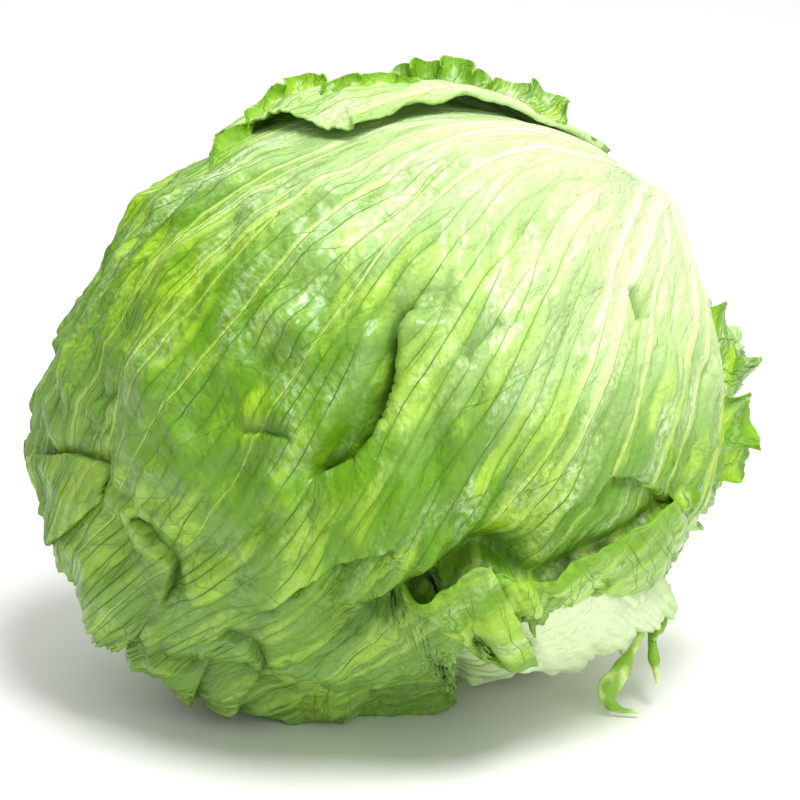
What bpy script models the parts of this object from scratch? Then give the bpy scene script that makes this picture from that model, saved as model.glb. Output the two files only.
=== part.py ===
"""An iceberg lettuce head lying on its side, with its cut stem up to the right and its crown down to the left.

Metres, +Z up. The origin is on the surface that the head rests on, in the middle of the flat spot under it.
Six wrapper leaves lie one over the other round a tight heart, and all of them grow round one stem.
"""

from dataclasses import dataclass, field
from math import cos, pi, radians, sin

import bmesh
import bpy
import numpy as np
from mathutils import Matrix, Vector

MM = 0.001

# The head's place and outer form.
CENTRE_HEIGHT = 67.8 * MM
STEM_RISE = radians(31)  # of the stem's axis above the horizon
STEM_TURN = radians(31)  # of the stem's axis, from +X towards +Y
FRONT_RISE = radians(18)  # the front is seen from this far above the horizon
# Radii of the head's outline seen from the front, every 30 degrees anticlockwise from the right.
OUTLINE = np.array((82, 82, 82, 77, 76.5, 77, 81, 82, 78, 74, 73.5, 78)) * MM
HALF_DEPTH = 78 * MM

# The stem, which runs into the heart as a tapered core.
STEM_RADIUS = 14 * MM
STEM_CUT = 79.5 * MM  # from the head's centre to the cut face
CORE_LENGTH = 52 * MM
CORE_TIP_RADIUS = 6 * MM
STEM_SIDES = 24

# The leaves.
LEAF_THICKNESS = 0.8 * MM
LEAF_PITCH = 2.1 * MM  # from one leaf's middle surface to that of the next one out
STACK = 8.5 * MM  # the heart lies this far under the outline
LEAF_START = radians(11)  # the leaves begin round the stem, this far from its axis
MARGIN_REACH = radians(4)  # a leaf's teeth may pass its plain outline by this
MARGIN_RAMP = radians(13)  # over which an outer leaf comes down past the edge of an inner one
RIB_SPACING = radians(15)  # between the lines of the ribs, where they leave the stem
TOUCH_GAP = 0.35 * MM  # between pieces that touch

# The heart's own leaves, as relief.
HEART_LEAVES = 7
HEART_STEP = 1.6 * MM
GOLDEN_ANGLE = radians(137.5)


def unit(vector):
    return np.array(vector, float) / np.linalg.norm(vector)


STEM_AXIS = np.array((cos(STEM_RISE) * cos(STEM_TURN), cos(STEM_RISE) * sin(STEM_TURN), sin(STEM_RISE)))
TO_FRONT = np.array((0, -cos(FRONT_RISE), sin(FRONT_RISE)))
# Angles round the stem are counted from FORE, towards the front, to SIDE, down to the right.
FORE = unit(TO_FRONT - (TO_FRONT @ STEM_AXIS) * STEM_AXIS)
SIDE = np.cross(STEM_AXIS, FORE)
OUTLINE_RIGHT = np.array((1.0, 0, 0))
OUTLINE_UP = np.cross(TO_FRONT, OUTLINE_RIGHT)
CENTRE = np.array((0, 0, CENTRE_HEIGHT))


@dataclass
class Leaf:
    """A leaf is a fan of lines that leave the stem, pass round the head and would meet again past the crown."""

    name: str
    azimuth: float  # of its midrib round the stem, in degrees
    spread: tuple  # how far it spreads to the left and right of its midrib, in degrees
    tip: float  # how far its tip is from the stem along its own lines, in degrees
    corners: tuple  # the same at its left and right corners
    columns: int
    rows: int
    colour: tuple
    overshoot: float = 24  # how far past the crown its lines would meet, in degrees
    base_spread: float = 60
    dome: float = 2.6  # how square its tip is: high for a straight edge between the corners
    skirt: float = 0.0  # how far the edge at its tip stands off the head
    teeth: float = 3.2  # height of the teeth along its edge, in degrees
    ruffle: float = 2.5 * MM  # how far its free edge waves out
    waves: float = 7  # of that edge, from corner to corner
    seed: int = 0
    curls: tuple = field(default_factory=tuple)
    notches: tuple = field(default_factory=tuple)


@dataclass
class Curl:
    """A stretch of a leaf's edge that rolls outwards."""

    edge: str  # left, right or tip
    middle: float  # its place along that edge: degrees from the stem, or across the tip from -1 to 1
    half_width: float
    depth: float  # how much of the leaf is rolled
    radius: float


@dataclass
class Notch:
    """A stretch of a leaf's side edge that lies further in."""

    edge: str
    middle: float
    half_width: float
    depth: float  # in degrees round the stem


@dataclass
class Hollow:
    """A long dent in the whole head, between two places given as degrees from the stem and round it."""

    start: tuple
    end: tuple
    depth: float
    width: float  # in degrees


@dataclass
class Ridge:
    """A fold of the outermost leaf that stands out, along a line of places as in Hollow."""

    line: tuple
    height: float
    width: float


HOLLOWS = (
    Hollow((98, 2), (124, -4), 3.6 * MM, 10),
    Hollow((70, 58), (100, 41), 3.0 * MM, 11),
    Hollow((108, 36), (142, 36), 4.6 * MM, 10),
    Hollow((152, -60), (160, -20), 2.5 * MM, 10),
)
FRONT_RIDGES = (
    Ridge(((66, 78), (82, 59), (103, 50), (122, 60)), 6.0 * MM, 7),
    Ridge(((104, 18), (118, 17), (133, 4)), 3.0 * MM, 7),
)

# From the innermost leaf to the outermost.
LEAVES = (
    Leaf("inner_leaf_left", -45, (84, 84), 164, (116, 116), 26, 16, (0.60, 0.74, 0.28), seed=11),
    Leaf("inner_leaf_right", 60, (84, 84), 160, (116, 116), 26, 16, (0.58, 0.73, 0.27), seed=12),
    Leaf("leaf_back", -168, (90, 86), 158, (112, 108), 26, 17, (0.40, 0.60, 0.13), seed=13, waves=8),
    Leaf("leaf_under", 104, (88, 84), 152, (96, 108), 32, 20, (0.62, 0.76, 0.36), seed=14, waves=8),
    Leaf("leaf_front", 4, (104, 71), 156, (136, 124), 38, 25, (0.36, 0.57, 0.10), seed=15, waves=9,
         ruffle=3.6 * MM, dome=1.6, skirt=5 * MM, teeth=4.0,
         curls=(Curl("right", 34, 7, 15 * MM, 7 * MM), Curl("right", 49, 7, 13 * MM, 7 * MM),
                Curl("right", 74, 13, 17 * MM, 14 * MM)),
         notches=(Notch("right", 100, 9, 10), Notch("right", 61, 4, 7))),
    Leaf("leaf_top", -122, (78, 78), 84, (84, 78), 30, 16, (0.42, 0.62, 0.14), seed=16, waves=8,
         ruffle=3.2 * MM, base_spread=78,
         curls=(Curl("right", 34, 10, 11 * MM, 4 * MM), Curl("right", 60, 11, 12 * MM, 4.5 * MM),
                Curl("tip", 0.62, 0.2, 8 * MM, 4 * MM))),
)

# A torn strip hangs from the front leaf's edge: its middle line from there, and its widths.
STRIP_ROW = 13
STRIP = (
    ((-1, 0, -4), 2.6),
    ((-3, 0, -9), 2.2),
    ((-7, 0, -13), 3.4),
    ((-12, 1, -16.5), 2.8),
    ((-12, 2, -18.5), 1.8),
    ((-8, 3, -19.5), 1.4),
    ((-2, 3, -18.5), 0.9),
)
STRIP_THICKNESS = 1.2 * MM


def smooth_step(x):
    x = np.clip(x, 0, 1)
    return x * x * (3 - 2 * x)


def bump(x):
    return np.exp(-x * x)


def direction(from_stem, round_stem):
    """Unit vectors at these angles from the stem's axis and round it, in radians."""
    across = np.sin(from_stem)[..., None]
    fore = across * np.cos(round_stem)[..., None] * FORE
    side = across * np.sin(round_stem)[..., None] * SIDE
    return np.cos(from_stem)[..., None] * STEM_AXIS + fore + side


def place(degrees):
    from_stem, round_stem = np.radians(degrees)
    return direction(np.array(from_stem), np.array(round_stem))


def line_distance(towards, places):
    """Angle, in degrees, from each direction to the nearest point of a line of places."""
    corners = np.array([place(p) for p in places])
    nearest = np.full(towards.shape[:-1], np.inf)
    for start, end in zip(corners[:-1], corners[1:]):
        along = end - start
        share = np.clip((towards - start) @ along / (along @ along), 0, 1)
        gap = np.linalg.norm(towards - start - share[..., None] * along, axis=-1)
        nearest = np.minimum(nearest, gap)
    return np.degrees(nearest)


def outline_radius(turn):
    """The smooth closed curve through OUTLINE, as its Fourier series."""
    waves = np.fft.rfft(OUTLINE) / len(OUTLINE)
    radius = np.full_like(turn, waves[0].real)
    for n, wave in enumerate(waves[1:], start=1):
        share = 1 if 2 * n == len(OUTLINE) else 2
        radius = radius + share * (wave * np.exp(1j * n * turn)).real
    return radius


def head_radius(towards):
    """From the centre to the head's plain surface: each section through the front axis is an ellipse."""
    right, up, front = towards @ OUTLINE_RIGHT, towards @ OUTLINE_UP, towards @ TO_FRONT
    flat = np.hypot(right, up)
    outline = outline_radius(np.arctan2(up, right))
    radius = 1 / np.sqrt((flat / outline) ** 2 + (front / HALF_DEPTH) ** 2)
    for hollow in HOLLOWS:
        radius = radius - hollow.depth * bump(line_distance(towards, (hollow.start, hollow.end)) / hollow.width)
    return radius


def own_angles(leaf, towards):
    """A leaf's own coordinates: angle from the stem along its lines, and angle between the line and its midrib."""
    azimuth = radians(leaf.azimuth)
    fore = FORE * cos(azimuth) + SIDE * sin(azimuth)
    side = SIDE * cos(azimuth) - FORE * sin(azimuth)
    flat = (towards @ fore + 1j * (towards @ side)) / np.maximum(1 + towards @ STEM_AXIS, 1e-6)
    own = flat / (1 + flat * np.tan(radians(leaf.overshoot) / 2))
    return 2 * np.arctan(np.abs(own)), np.angle(own)


def from_own_angles(leaf, along, across):
    """The direction at a leaf's own coordinates."""
    own = np.tan(along / 2) * np.exp(1j * across)
    flat = own / (1 - own * np.tan(radians(leaf.overshoot) / 2))
    return direction(2 * np.arctan(np.abs(flat)), np.angle(flat) + radians(leaf.azimuth))


def half_spread(leaf, along, across):
    """How far the leaf reaches from its midrib, on the side where across lies, this far from the stem."""
    widest = np.where(across < 0, *np.radians(leaf.spread))
    base = radians(leaf.base_spread)
    return base + (widest - base) * smooth_step((along - LEAF_START) / radians(52))


def reach(leaf, share):
    """How far the leaf reaches from the stem, for a share of its spread from -1 to 1."""
    corner = np.where(share < 0, *np.radians(leaf.corners))
    return radians(leaf.tip) - (radians(leaf.tip) - corner) * np.abs(share) ** leaf.dome


def inside(leaf, towards):
    """How far inside the leaf's plain outline each direction lies, as an angle; it is negative outside."""
    along, across = own_angles(leaf, towards)
    spread = half_spread(leaf, along, across)
    share = np.clip(across / spread, -1, 1)
    from_side = (spread - np.abs(across)) * np.sin(along)
    return np.minimum(from_side, reach(leaf, share) - along)


def cover(leaf, towards):
    """1 under or over the leaf, falling smoothly to 0 beyond its edge."""
    return smooth_step((inside(leaf, towards) + MARGIN_REACH + MARGIN_RAMP) / MARGIN_RAMP)


def leaves_under(order, towards):
    """How many leaves lie under the leaf of this order, falling smoothly at their edges."""
    return sum((cover(leaf, towards) for leaf in LEAVES[:order]), np.zeros(towards.shape[:-1]))


def leaves_over(order, towards):
    return sum((cover(leaf, towards) for leaf in LEAVES[order + 1:]), np.zeros(towards.shape[:-1]))


def rest_height(order, towards):
    """The lowest a leaf may lie: on the surface, or on the leaves between it and the surface."""
    return LEAF_THICKNESS / 2 + LEAF_PITCH * leaves_over(order, towards)


def noise_wave(seed, x, count=5):
    """A smooth random wave along x, about -1 to 1, the same for the same seed."""
    random = np.random.default_rng(seed)
    value = np.zeros_like(x)
    for n in range(1, count + 1):
        value = value + random.uniform(0.5, 1) * np.sin(n * x + random.uniform(0, 2 * pi)) / n**0.5
    return value / count**0.5


def teeth(leaf, x):
    """The height of an edge's teeth along it: broad lobes with small teeth on them."""
    lobes = noise_wave(leaf.seed, x * 3.1)
    small = np.abs((x * 1.7) % 2 - 1) * 2 - 1
    return radians(leaf.teeth) * (0.75 * lobes + 0.35 * small)


def ribs(leaf, along, across):
    """Height of the raised midrib and side ribs on the leaf's outer face."""
    fade = 1 - smooth_step((along - radians(50)) / radians(75))
    midrib = 2.2 * MM * bump(across / radians(9)) * fade
    side_ribs = 1.3 * MM * (0.5 + 0.5 * np.cos(across / RIB_SPACING * 2 * pi)) ** 2
    return midrib + side_ribs * (0.45 + 0.55 * fade)


def leaf_grid(leaf):
    """Each grid point's own angles, its share of the spread and its distance from the leaf's edge."""
    step = np.linspace(-1, 1, leaf.columns + 1)
    share = np.sign(step) * (1 - (1 - np.abs(step)) ** 1.2)
    row = np.linspace(0, 1, leaf.rows + 1) ** 0.92
    share, row = np.meshgrid(share, row, indexing="ij")
    toothed = reach(leaf, share) + teeth(leaf, share * 9)
    along = LEAF_START + row * (toothed - LEAF_START)
    spread = half_spread(leaf, along, share)
    wavy = 1 + 0.6 * teeth(leaf, along * 9 + 40 * (share > 0)) * share**6 * smooth_step((along - 0.3) / 0.5)
    for notch in leaf.notches:
        side = -1 if notch.edge == "left" else 1
        cut = radians(notch.depth) * bump((np.degrees(along) - notch.middle) / notch.half_width)
        wavy = wavy - cut / spread * np.clip(share * side, 0, 1) ** 3
    across = share * spread * wavy
    from_side = (1 - np.abs(share)) * spread * np.sin(along)
    return along, across, share, np.minimum(from_side, toothed - along), from_side < toothed - along


def leaf_points(order):
    """The middle surface of a leaf, as a grid of points."""
    leaf = LEAVES[order]
    along, across, share, edge, at_side = leaf_grid(leaf)
    towards = from_own_angles(leaf, along, across)
    free = np.prod([1 - cover(outer, towards) for outer in LEAVES[order + 1:]], axis=0) * np.ones_like(along)
    height = LEAF_PITCH * (0.5 + leaves_under(order, towards)) - STACK
    height = height + ribs(leaf, along, across) * (0.15 + 0.85 * free) * smooth_step(edge / radians(6))
    if leaf.name == "leaf_front":
        for ridge in FRONT_RIDGES:
            height = height + free * ridge.height * bump(line_distance(towards, ridge.line) / ridge.width)
    # A free edge waves outwards, more so towards its very edge.
    run = np.where(at_side, along * 2.2 + 9 * np.sign(share), share * 3)
    wave = 0.5 + 0.5 * np.sin(run * leaf.waves * 0.75 + leaf.seed)
    height = height + leaf.ruffle * free * (0.35 + wave) * bump(edge / radians(6.5))
    to_tip = reach(leaf, share) - along
    height = height + leaf.skirt * free * bump(to_tip / radians(17)) * smooth_step((along - 1.2) / 0.5)
    points = CENTRE + towards * (head_radius(towards) + height)[..., None]
    for curl in leaf.curls:
        points = rolled(leaf, points, towards, share, along, edge, free, curl)
    points[..., 2] = np.maximum(points[..., 2], rest_height(order, towards))
    return points


def rolled(leaf, points, towards, share, along, edge, free, curl):
    """The points with one stretch of the edge rolled outwards round a cylinder along it."""
    if curl.edge == "tip":
        place_on_edge = (share - curl.middle) / curl.half_width
        outward = np.gradient(points, axis=1)
        chosen = np.ones_like(share, bool)
    else:
        side = -1 if curl.edge == "left" else 1
        place_on_edge = (np.degrees(along) - curl.middle) / curl.half_width
        outward = side * np.gradient(points, axis=0)
        chosen = share * side > 0
        edge = np.where(chosen, (1 - np.abs(share)) * half_spread(leaf, along, share) * np.sin(along), 1)
    outward = outward / np.linalg.norm(outward, axis=-1, keepdims=True)
    amount = bump(place_on_edge) * free * chosen
    rolled_length = np.clip(curl.depth * amount - edge * HALF_DEPTH, 0, None)
    angle = rolled_length / curl.radius
    back = (curl.radius * np.sin(angle) - rolled_length)[..., None] * outward
    return points + back + (curl.radius * (1 - np.cos(angle)))[..., None] * towards


def grid_faces(columns, rows):
    """Triangles over a grid, with the diagonals in turn one way and the other."""
    faces = []
    for i in range(columns):
        for j in range(rows):
            a, b = i * (rows + 1) + j, (i + 1) * (rows + 1) + j
            if (i + j) % 2:
                faces += [(a, b, b + 1), (a, b + 1, a + 1)]
            else:
                faces += [(a, b, a + 1), (b, b + 1, a + 1)]
    return faces


def material(name, colour, roughness):
    made = bpy.data.materials.new(name)
    made.use_nodes = True
    shader = made.node_tree.nodes["Principled BSDF"]
    shader.inputs["Base Color"].default_value = (*colour, 1)
    shader.inputs["Roughness"].default_value = roughness
    return made


def mesh_object(name, points, faces, made_of):
    mesh = bpy.data.meshes.new(name)
    mesh.from_pydata([tuple(p) for p in points], [], faces)
    mesh.materials.append(made_of)
    mesh.shade_smooth()
    made = bpy.data.objects.new(name, mesh)
    bpy.context.scene.collection.objects.link(made)
    return made


def make_leaf(order):
    """A leaf is a triangulated sheet, given its thickness alike on both faces."""
    leaf = LEAVES[order]
    points = leaf_points(order).reshape(-1, 3)
    faces = grid_faces(leaf.columns, leaf.rows)
    made = mesh_object(leaf.name, points, faces, material(leaf.name, leaf.colour, 0.42))
    thickness = made.modifiers.new("Thickness", "SOLIDIFY")
    thickness.thickness = LEAF_THICKNESS
    thickness.offset = 0
    return made


def make_strip():
    """The torn strip: a flat tapering ribbon that begins inside the front leaf."""
    edge = leaf_points([leaf.name for leaf in LEAVES].index("leaf_front"))[:, STRIP_ROW]
    line = [edge[-4], edge[-2]] + [edge[-1] + np.array(offset) * MM for offset, _ in STRIP]
    widths = np.array([STRIP[0][1]] * 2 + [width for _, width in STRIP]) * MM
    line = np.array(line)
    along = np.gradient(line, axis=0)
    along = along / np.linalg.norm(along, axis=1, keepdims=True)
    across = np.cross(along, (0, -1, 0))
    across = across / np.linalg.norm(across, axis=1, keepdims=True)
    out = np.cross(across, along) * STRIP_THICKNESS / 2
    half = across * widths[:, None] / 2
    points = np.stack((line - half - out, line + half - out, line + half + out, line - half + out), axis=1)
    faces = [(0, 1, 2, 3), tuple(4 * (len(line) - 1) + k for k in (3, 2, 1, 0))]
    for i in range(len(line) - 1):
        for k in range(4):
            a, b = 4 * i + k, 4 * i + (k + 1) % 4
            faces.append((a, a + 4, b + 4, b))
    made = mesh_object("torn_strip", points.reshape(-1, 3), faces, bpy.data.materials["leaf_front"])
    made.hide_render = True
    made.display_type = "WIRE"
    return made


def heart_relief(towards):
    """Height of the heart's own folded leaves: each one overlaps the next in a spiral, with a raised edge."""
    height = np.zeros(towards.shape[:-1])
    for n in range(HEART_LEAVES):
        leaf = Leaf("", np.degrees(n * GOLDEN_ANGLE) % 360 - 180, (70, 70), 138, (105, 105), 0, 0, (0, 0, 0))
        height = np.maximum(height, HEART_STEP * (n + 1) / HEART_LEAVES * smooth_step(inside(leaf, towards) / 0.2))
    return height - HEART_STEP


def heart_points(from_stem, round_stem):
    towards = direction(from_stem, round_stem)
    points = CENTRE + towards * (head_radius(towards) - STACK - TOUCH_GAP + heart_relief(towards))[..., None]
    lowest = LEAF_PITCH * (leaves_under(len(LEAVES), towards) + 0.5)
    points[..., 2] = np.maximum(points[..., 2], lowest)
    return points


def make_heart():
    """The tight inner head, a closed ball round the stem's axis with the core's socket cut into it."""
    rings, sides = 20, 40
    from_stem, round_stem = np.meshgrid(
        np.linspace(0, pi, rings + 1)[1:-1], np.linspace(0, 2 * pi, sides, endpoint=False), indexing="ij"
    )
    points = heart_points(from_stem, round_stem).reshape(-1, 3)
    poles = heart_points(np.array((0, pi)), np.zeros(2))
    points = np.concatenate((points, poles))
    near, far = len(points) - 2, len(points) - 1
    faces = []
    for j in range(sides):
        k = (j + 1) % sides
        faces.append((near, j, k))
        for i in range(rings - 2):
            a, b = i * sides, (i + 1) * sides
            faces += [(a + j, b + j, b + k), (a + j, b + k, a + k)]
        last = (rings - 2) * sides
        faces.append((last + j, far, last + k))
    made = mesh_object("heart", points, faces, material("heart", (0.74, 0.82, 0.47), 0.45))
    socket = made.modifiers.new("Core socket", "BOOLEAN")
    socket.operation = "DIFFERENCE"
    socket.object = make_core("core_cutter", TOUCH_GAP)
    socket.object.hide_render = True
    socket.object.display_type = "WIRE"
    return made


def make_core(name, grown):
    """The stem and its core: a turned shape along the stem's axis, grown by this much all over."""
    cut = STEM_CUT + (10 * MM if grown else 0)
    profile = (
        (0.0, STEM_CUT - CORE_LENGTH - grown),
        (CORE_TIP_RADIUS * 0.75 + grown, STEM_CUT - CORE_LENGTH + 1.5 * MM - grown),
        (CORE_TIP_RADIUS + 1.5 * MM + grown, STEM_CUT - CORE_LENGTH + 8 * MM),
        (STEM_RADIUS - 1.0 * MM + grown, STEM_CUT - 20 * MM),
        (STEM_RADIUS - 0.6 * MM + grown, STEM_CUT - 9 * MM),
        (STEM_RADIUS - 0.9 * MM + grown, cut - 1.2 * MM),
        (STEM_RADIUS - 2.2 * MM + grown, cut),
        (STEM_RADIUS * 0.6, cut - 0.5 * MM),
        (0.0, cut - 1.0 * MM),
    )
    mesh = bmesh.new()
    vertices = [mesh.verts.new((radius, 0, height)) for radius, height in profile]
    edges = [mesh.edges.new(pair) for pair in zip(vertices[:-1], vertices[1:])]
    bmesh.ops.spin(
        mesh, geom=vertices + edges, axis=(0, 0, 1), cent=(0, 0, 0), angle=2 * pi, steps=STEM_SIDES, use_merge=True
    )
    bmesh.ops.remove_doubles(mesh, verts=mesh.verts, dist=0.01 * MM)
    bmesh.ops.triangulate(mesh, faces=mesh.faces)
    bmesh.ops.recalc_face_normals(mesh, faces=mesh.faces)
    data = bpy.data.meshes.new(name)
    mesh.to_mesh(data)
    mesh.free()
    data.materials.append(material(name, (0.80, 0.78, 0.58), 0.6))
    data.shade_smooth()
    made = bpy.data.objects.new(name, data)
    bpy.context.scene.collection.objects.link(made)
    turn = Vector((0, 0, 1)).rotation_difference(Vector(STEM_AXIS)).to_matrix().to_4x4()
    made.matrix_world = Matrix.Translation(Vector(CENTRE)) @ turn
    return made


def clear_scene():
    for old in list(bpy.data.objects):
        bpy.data.objects.remove(old)


def main():
    clear_scene()
    make_core("stem", 0)
    make_heart()
    for order in range(len(LEAVES)):
        made = make_leaf(order)
        if made.name == "leaf_front":
            torn = made.modifiers.new("Torn strip", "BOOLEAN")
            torn.operation = "UNION"
            torn.object = make_strip()


main()
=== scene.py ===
"""The looks of an iceberg lettuce head that lies on its side, cut stem up to the right.

Metres, +Z up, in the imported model's frame. Each CAD node is replaced by a finer piece of the same form:
leaves with forking veins, puckered flesh, torn and rolled edges, round a tight heart and a cut stem.
"""

from dataclasses import dataclass
from math import cos, pi, radians, sin

import bpy
import numpy as np
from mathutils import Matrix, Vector
from mathutils.bvhtree import BVHTree

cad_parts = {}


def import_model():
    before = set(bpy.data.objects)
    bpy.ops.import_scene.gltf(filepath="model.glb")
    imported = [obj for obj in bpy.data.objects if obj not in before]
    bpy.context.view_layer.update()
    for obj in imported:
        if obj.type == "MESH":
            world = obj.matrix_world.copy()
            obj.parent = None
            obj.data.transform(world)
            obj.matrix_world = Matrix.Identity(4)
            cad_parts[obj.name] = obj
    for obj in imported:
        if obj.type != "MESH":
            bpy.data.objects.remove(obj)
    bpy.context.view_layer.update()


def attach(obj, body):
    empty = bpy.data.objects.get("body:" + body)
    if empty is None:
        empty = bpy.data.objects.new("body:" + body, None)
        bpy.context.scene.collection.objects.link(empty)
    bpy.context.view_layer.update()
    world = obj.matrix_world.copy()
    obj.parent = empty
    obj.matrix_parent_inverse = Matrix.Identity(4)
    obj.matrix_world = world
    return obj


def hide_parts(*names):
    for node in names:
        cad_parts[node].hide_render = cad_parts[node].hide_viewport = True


MM = 0.001

# The head's place and outer form, as in the part's source.
CENTRE_HEIGHT = 67.8 * MM
STEM_RISE = radians(31)  # of the stem's axis above the horizon
STEM_TURN = radians(31)  # of the stem's axis, from +X towards +Y
FRONT_RISE = radians(18)  # the front is seen from this far above the horizon
# Radii of the head's outline seen from the front, every 30 degrees anticlockwise from the right.
OUTLINE = np.array((82, 82, 82, 77, 76.5, 77, 81, 82, 78, 74, 73.5, 78)) * MM
HALF_DEPTH = 78 * MM

# The stem and its core.
STEM_RADIUS = 14 * MM
STEM_CUT = 79.5 * MM  # from the head's centre to the cut face
CORE_LENGTH = 52 * MM
CORE_TIP_RADIUS = 6 * MM

# The leaves.
LEAF_THICKNESS = 0.8 * MM
EDGE_THICKNESS = 0.4 * MM
BASE_THICKNESS = 2.6 * MM
LEAF_PITCH = 2.1 * MM  # from one leaf's middle surface to that of the next one out
STACK = 8.5 * MM  # the heart lies this far under the outline
LEAF_START = radians(11)  # the leaves begin round the stem, this far from its axis
MARGIN_REACH = radians(4)  # a leaf's teeth may pass its plain outline by this
MARGIN_RAMP = radians(13)  # over which an outer leaf comes down past the edge of an inner one
TOUCH_GAP = 0.35 * MM
COVERED_SINK = 2.2 * MM  # how much deeper a leaf lies where another covers it, so that neither shows through

# The heart's own leaves, as relief.
HEART_LEAVES = 7
HEART_STEP = 1.6 * MM
GOLDEN_ANGLE = radians(137.5)

# The camera looks at the head's middle from the photograph's side.
CAMERA_DISTANCE = 0.9
FRAME_WIDTH = 0.192  # what the frame spans at the head's middle
SENSOR_WIDTH = 36  # in millimetres
VIEW_RIGHT = 3.6 * MM  # of the head's centre, where the middle of the frame lies


def unit(vector):
    return np.array(vector, float) / np.linalg.norm(vector)


def unit_rows(vectors):
    return vectors / np.linalg.norm(vectors, axis=-1, keepdims=True)


STEM_AXIS = np.array((cos(STEM_RISE) * cos(STEM_TURN), cos(STEM_RISE) * sin(STEM_TURN), sin(STEM_RISE)))
TO_FRONT = np.array((0, -cos(FRONT_RISE), sin(FRONT_RISE)))
# Angles round the stem are counted from FORE, towards the front, to SIDE, down to the right.
FORE = unit(TO_FRONT - (TO_FRONT @ STEM_AXIS) * STEM_AXIS)
SIDE = np.cross(STEM_AXIS, FORE)
OUTLINE_RIGHT = np.array((1.0, 0, 0))
OUTLINE_UP = np.cross(TO_FRONT, OUTLINE_RIGHT)
CENTRE = np.array((0, 0, CENTRE_HEIGHT))


@dataclass
class Leaf:
    """A fan of lines that leave the stem, pass round the head and would meet again past the crown."""

    name: str
    azimuth: float  # of its midrib round the stem, in degrees
    spread: tuple  # how far it spreads to the left and right of its midrib, in degrees
    tip: float  # how far its tip is from the stem along its own lines, in degrees
    corners: tuple  # the same at its left and right corners
    columns: int
    rows: int
    overshoot: float = 24  # how far past the crown its lines would meet, in degrees
    base_spread: float = 60
    dome: float = 2.6  # how square its tip is: high for a straight edge between the corners
    skirt: float = 0.0  # how far the edge at its tip stands off the head
    teeth: float = 3.2  # height of the lobes along its edge, in degrees
    right_greener: float = 0.0  # how much sooner its right half turns green, as a share of a half turn
    ruffle: float = 2.5 * MM  # how far its free edge waves out
    waves: float = 7  # of that edge, from corner to corner
    seed: int = 0
    curls: tuple = ()
    notches: tuple = ()
    green: float = 0.5  # 0 for a pale yellow-green leaf, 1 for a dark green one
    sweep: float = 0.0  # how far its veins turn to the right, in radians for each radian from the stem
    pale: tuple = (0.27, 0.62)  # it is pale up to the first share of a half turn from the stem, then green


@dataclass
class Curl:
    """A stretch of a leaf's right edge that rolls outwards."""

    middle: float  # its place along that edge, in degrees from the stem
    half_width: float
    depth: float  # how much of the leaf is rolled
    radius: float


@dataclass
class Notch:
    """A stretch of a leaf's side edge that lies further in."""

    edge: str
    middle: float
    half_width: float
    depth: float  # in degrees round the stem


@dataclass
class Hollow:
    """A long dent in the whole head, along places given as degrees from the stem and round it."""

    line: tuple
    depth: float
    width: float  # in degrees


@dataclass
class Fold:
    """A crest or, where the height is negative, a furrow on the outermost leaf."""

    line: tuple
    height: float
    width: tuple  # in degrees, to the left and right of the line as it runs


@dataclass
class Step:
    """A tear or sharp fold in the outermost leaf: the left side of this line stands over its right side."""

    line: tuple
    up: float  # of its left side over the leaf's plain surface
    down: float  # of its right side under it
    fade: tuple  # in degrees, how far from the line each side's share dies out
    lean: float  # how far the left side's edge hangs over the right side
    dark: float  # how strongly shade is painted on the flesh under the step's lip
    width: float = 0.8  # over which it rises, in degrees


HOLLOWS = (
    Hollow(((87, -8), (93, -9), (98, -6), (102, -2), (107, 1), (112, 3), (116, 3), (121, 2)), 3.5 * MM, 3.5),
    Hollow(((105, 36), (109, 35), (114, 35), (119, 36), (124, 38), (130, 39), (135, 38)), 8.5 * MM, 5),
    Hollow(((153, -78), (155, -48), (161, -32)), 2.5 * MM, 5),
    Hollow(((162, -37), (165, -26), (168, -10), (169, 4)), 4.0 * MM, 4),
    Hollow(((158, 57), (158, 60)), 3.0 * MM, 3),
)
FRONT_FOLDS = (
    # The bulge above the deep hollow.
    Fold(((107, 31), (113, 31), (121, 32), (129, 33), (139, 34)), 2.2 * MM, (5, 7)),
    # The rim below the hollow, torn and turned up.
    Fold(((137, 56), (144, 54), (152, 56)), 1.6 * MM, (4, 3)),
    # Broad swells and furrows along the veins.
    Fold(((70, -28), (84, -24), (97, -21), (108, -20)), -1.8 * MM, (5, 5)),
    Fold(((108, -17), (117, -20), (126, -21), (136, -25)), -2.2 * MM, (4, 4)),
    Fold(((92, -34), (108, -36), (122, -39), (136, -44)), 1.8 * MM, (7, 7)),
    Fold(((62, 9), (72, 12), (86, 16), (97, 22), (105, 30)), -1.8 * MM, (4, 4)),
    Fold(((56, 24), (68, 28), (80, 33), (92, 38)), 1.4 * MM, (5, 5)),
    Fold(((50, 40), (62, 47), (72, 52)), -1.5 * MM, (4, 4)),
    Fold(((108, 12), (118, 17), (128, 18)), 1.6 * MM, (6, 5)),
    # Ridges that run into the pinch.
    Fold(((80, -5), (89, -3), (97, -8), (108, -12), (119, -9), (127, -4)), 1.8 * MM, (2.2, 2.2)),
    Fold(((124, 0), (137, -4), (148, -12), (163, -28)), 2.4 * MM, (3, 2.4)),
    Fold(((47, -2), (71, 4), (89, 11), (105, 17)), 1.2 * MM, (2.4, 2.4)),
    Fold(((60, -22), (87, -16), (108, -13), (125, -12), (139, -19)), 1.2 * MM, (2.4, 2.4)),
)
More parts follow.
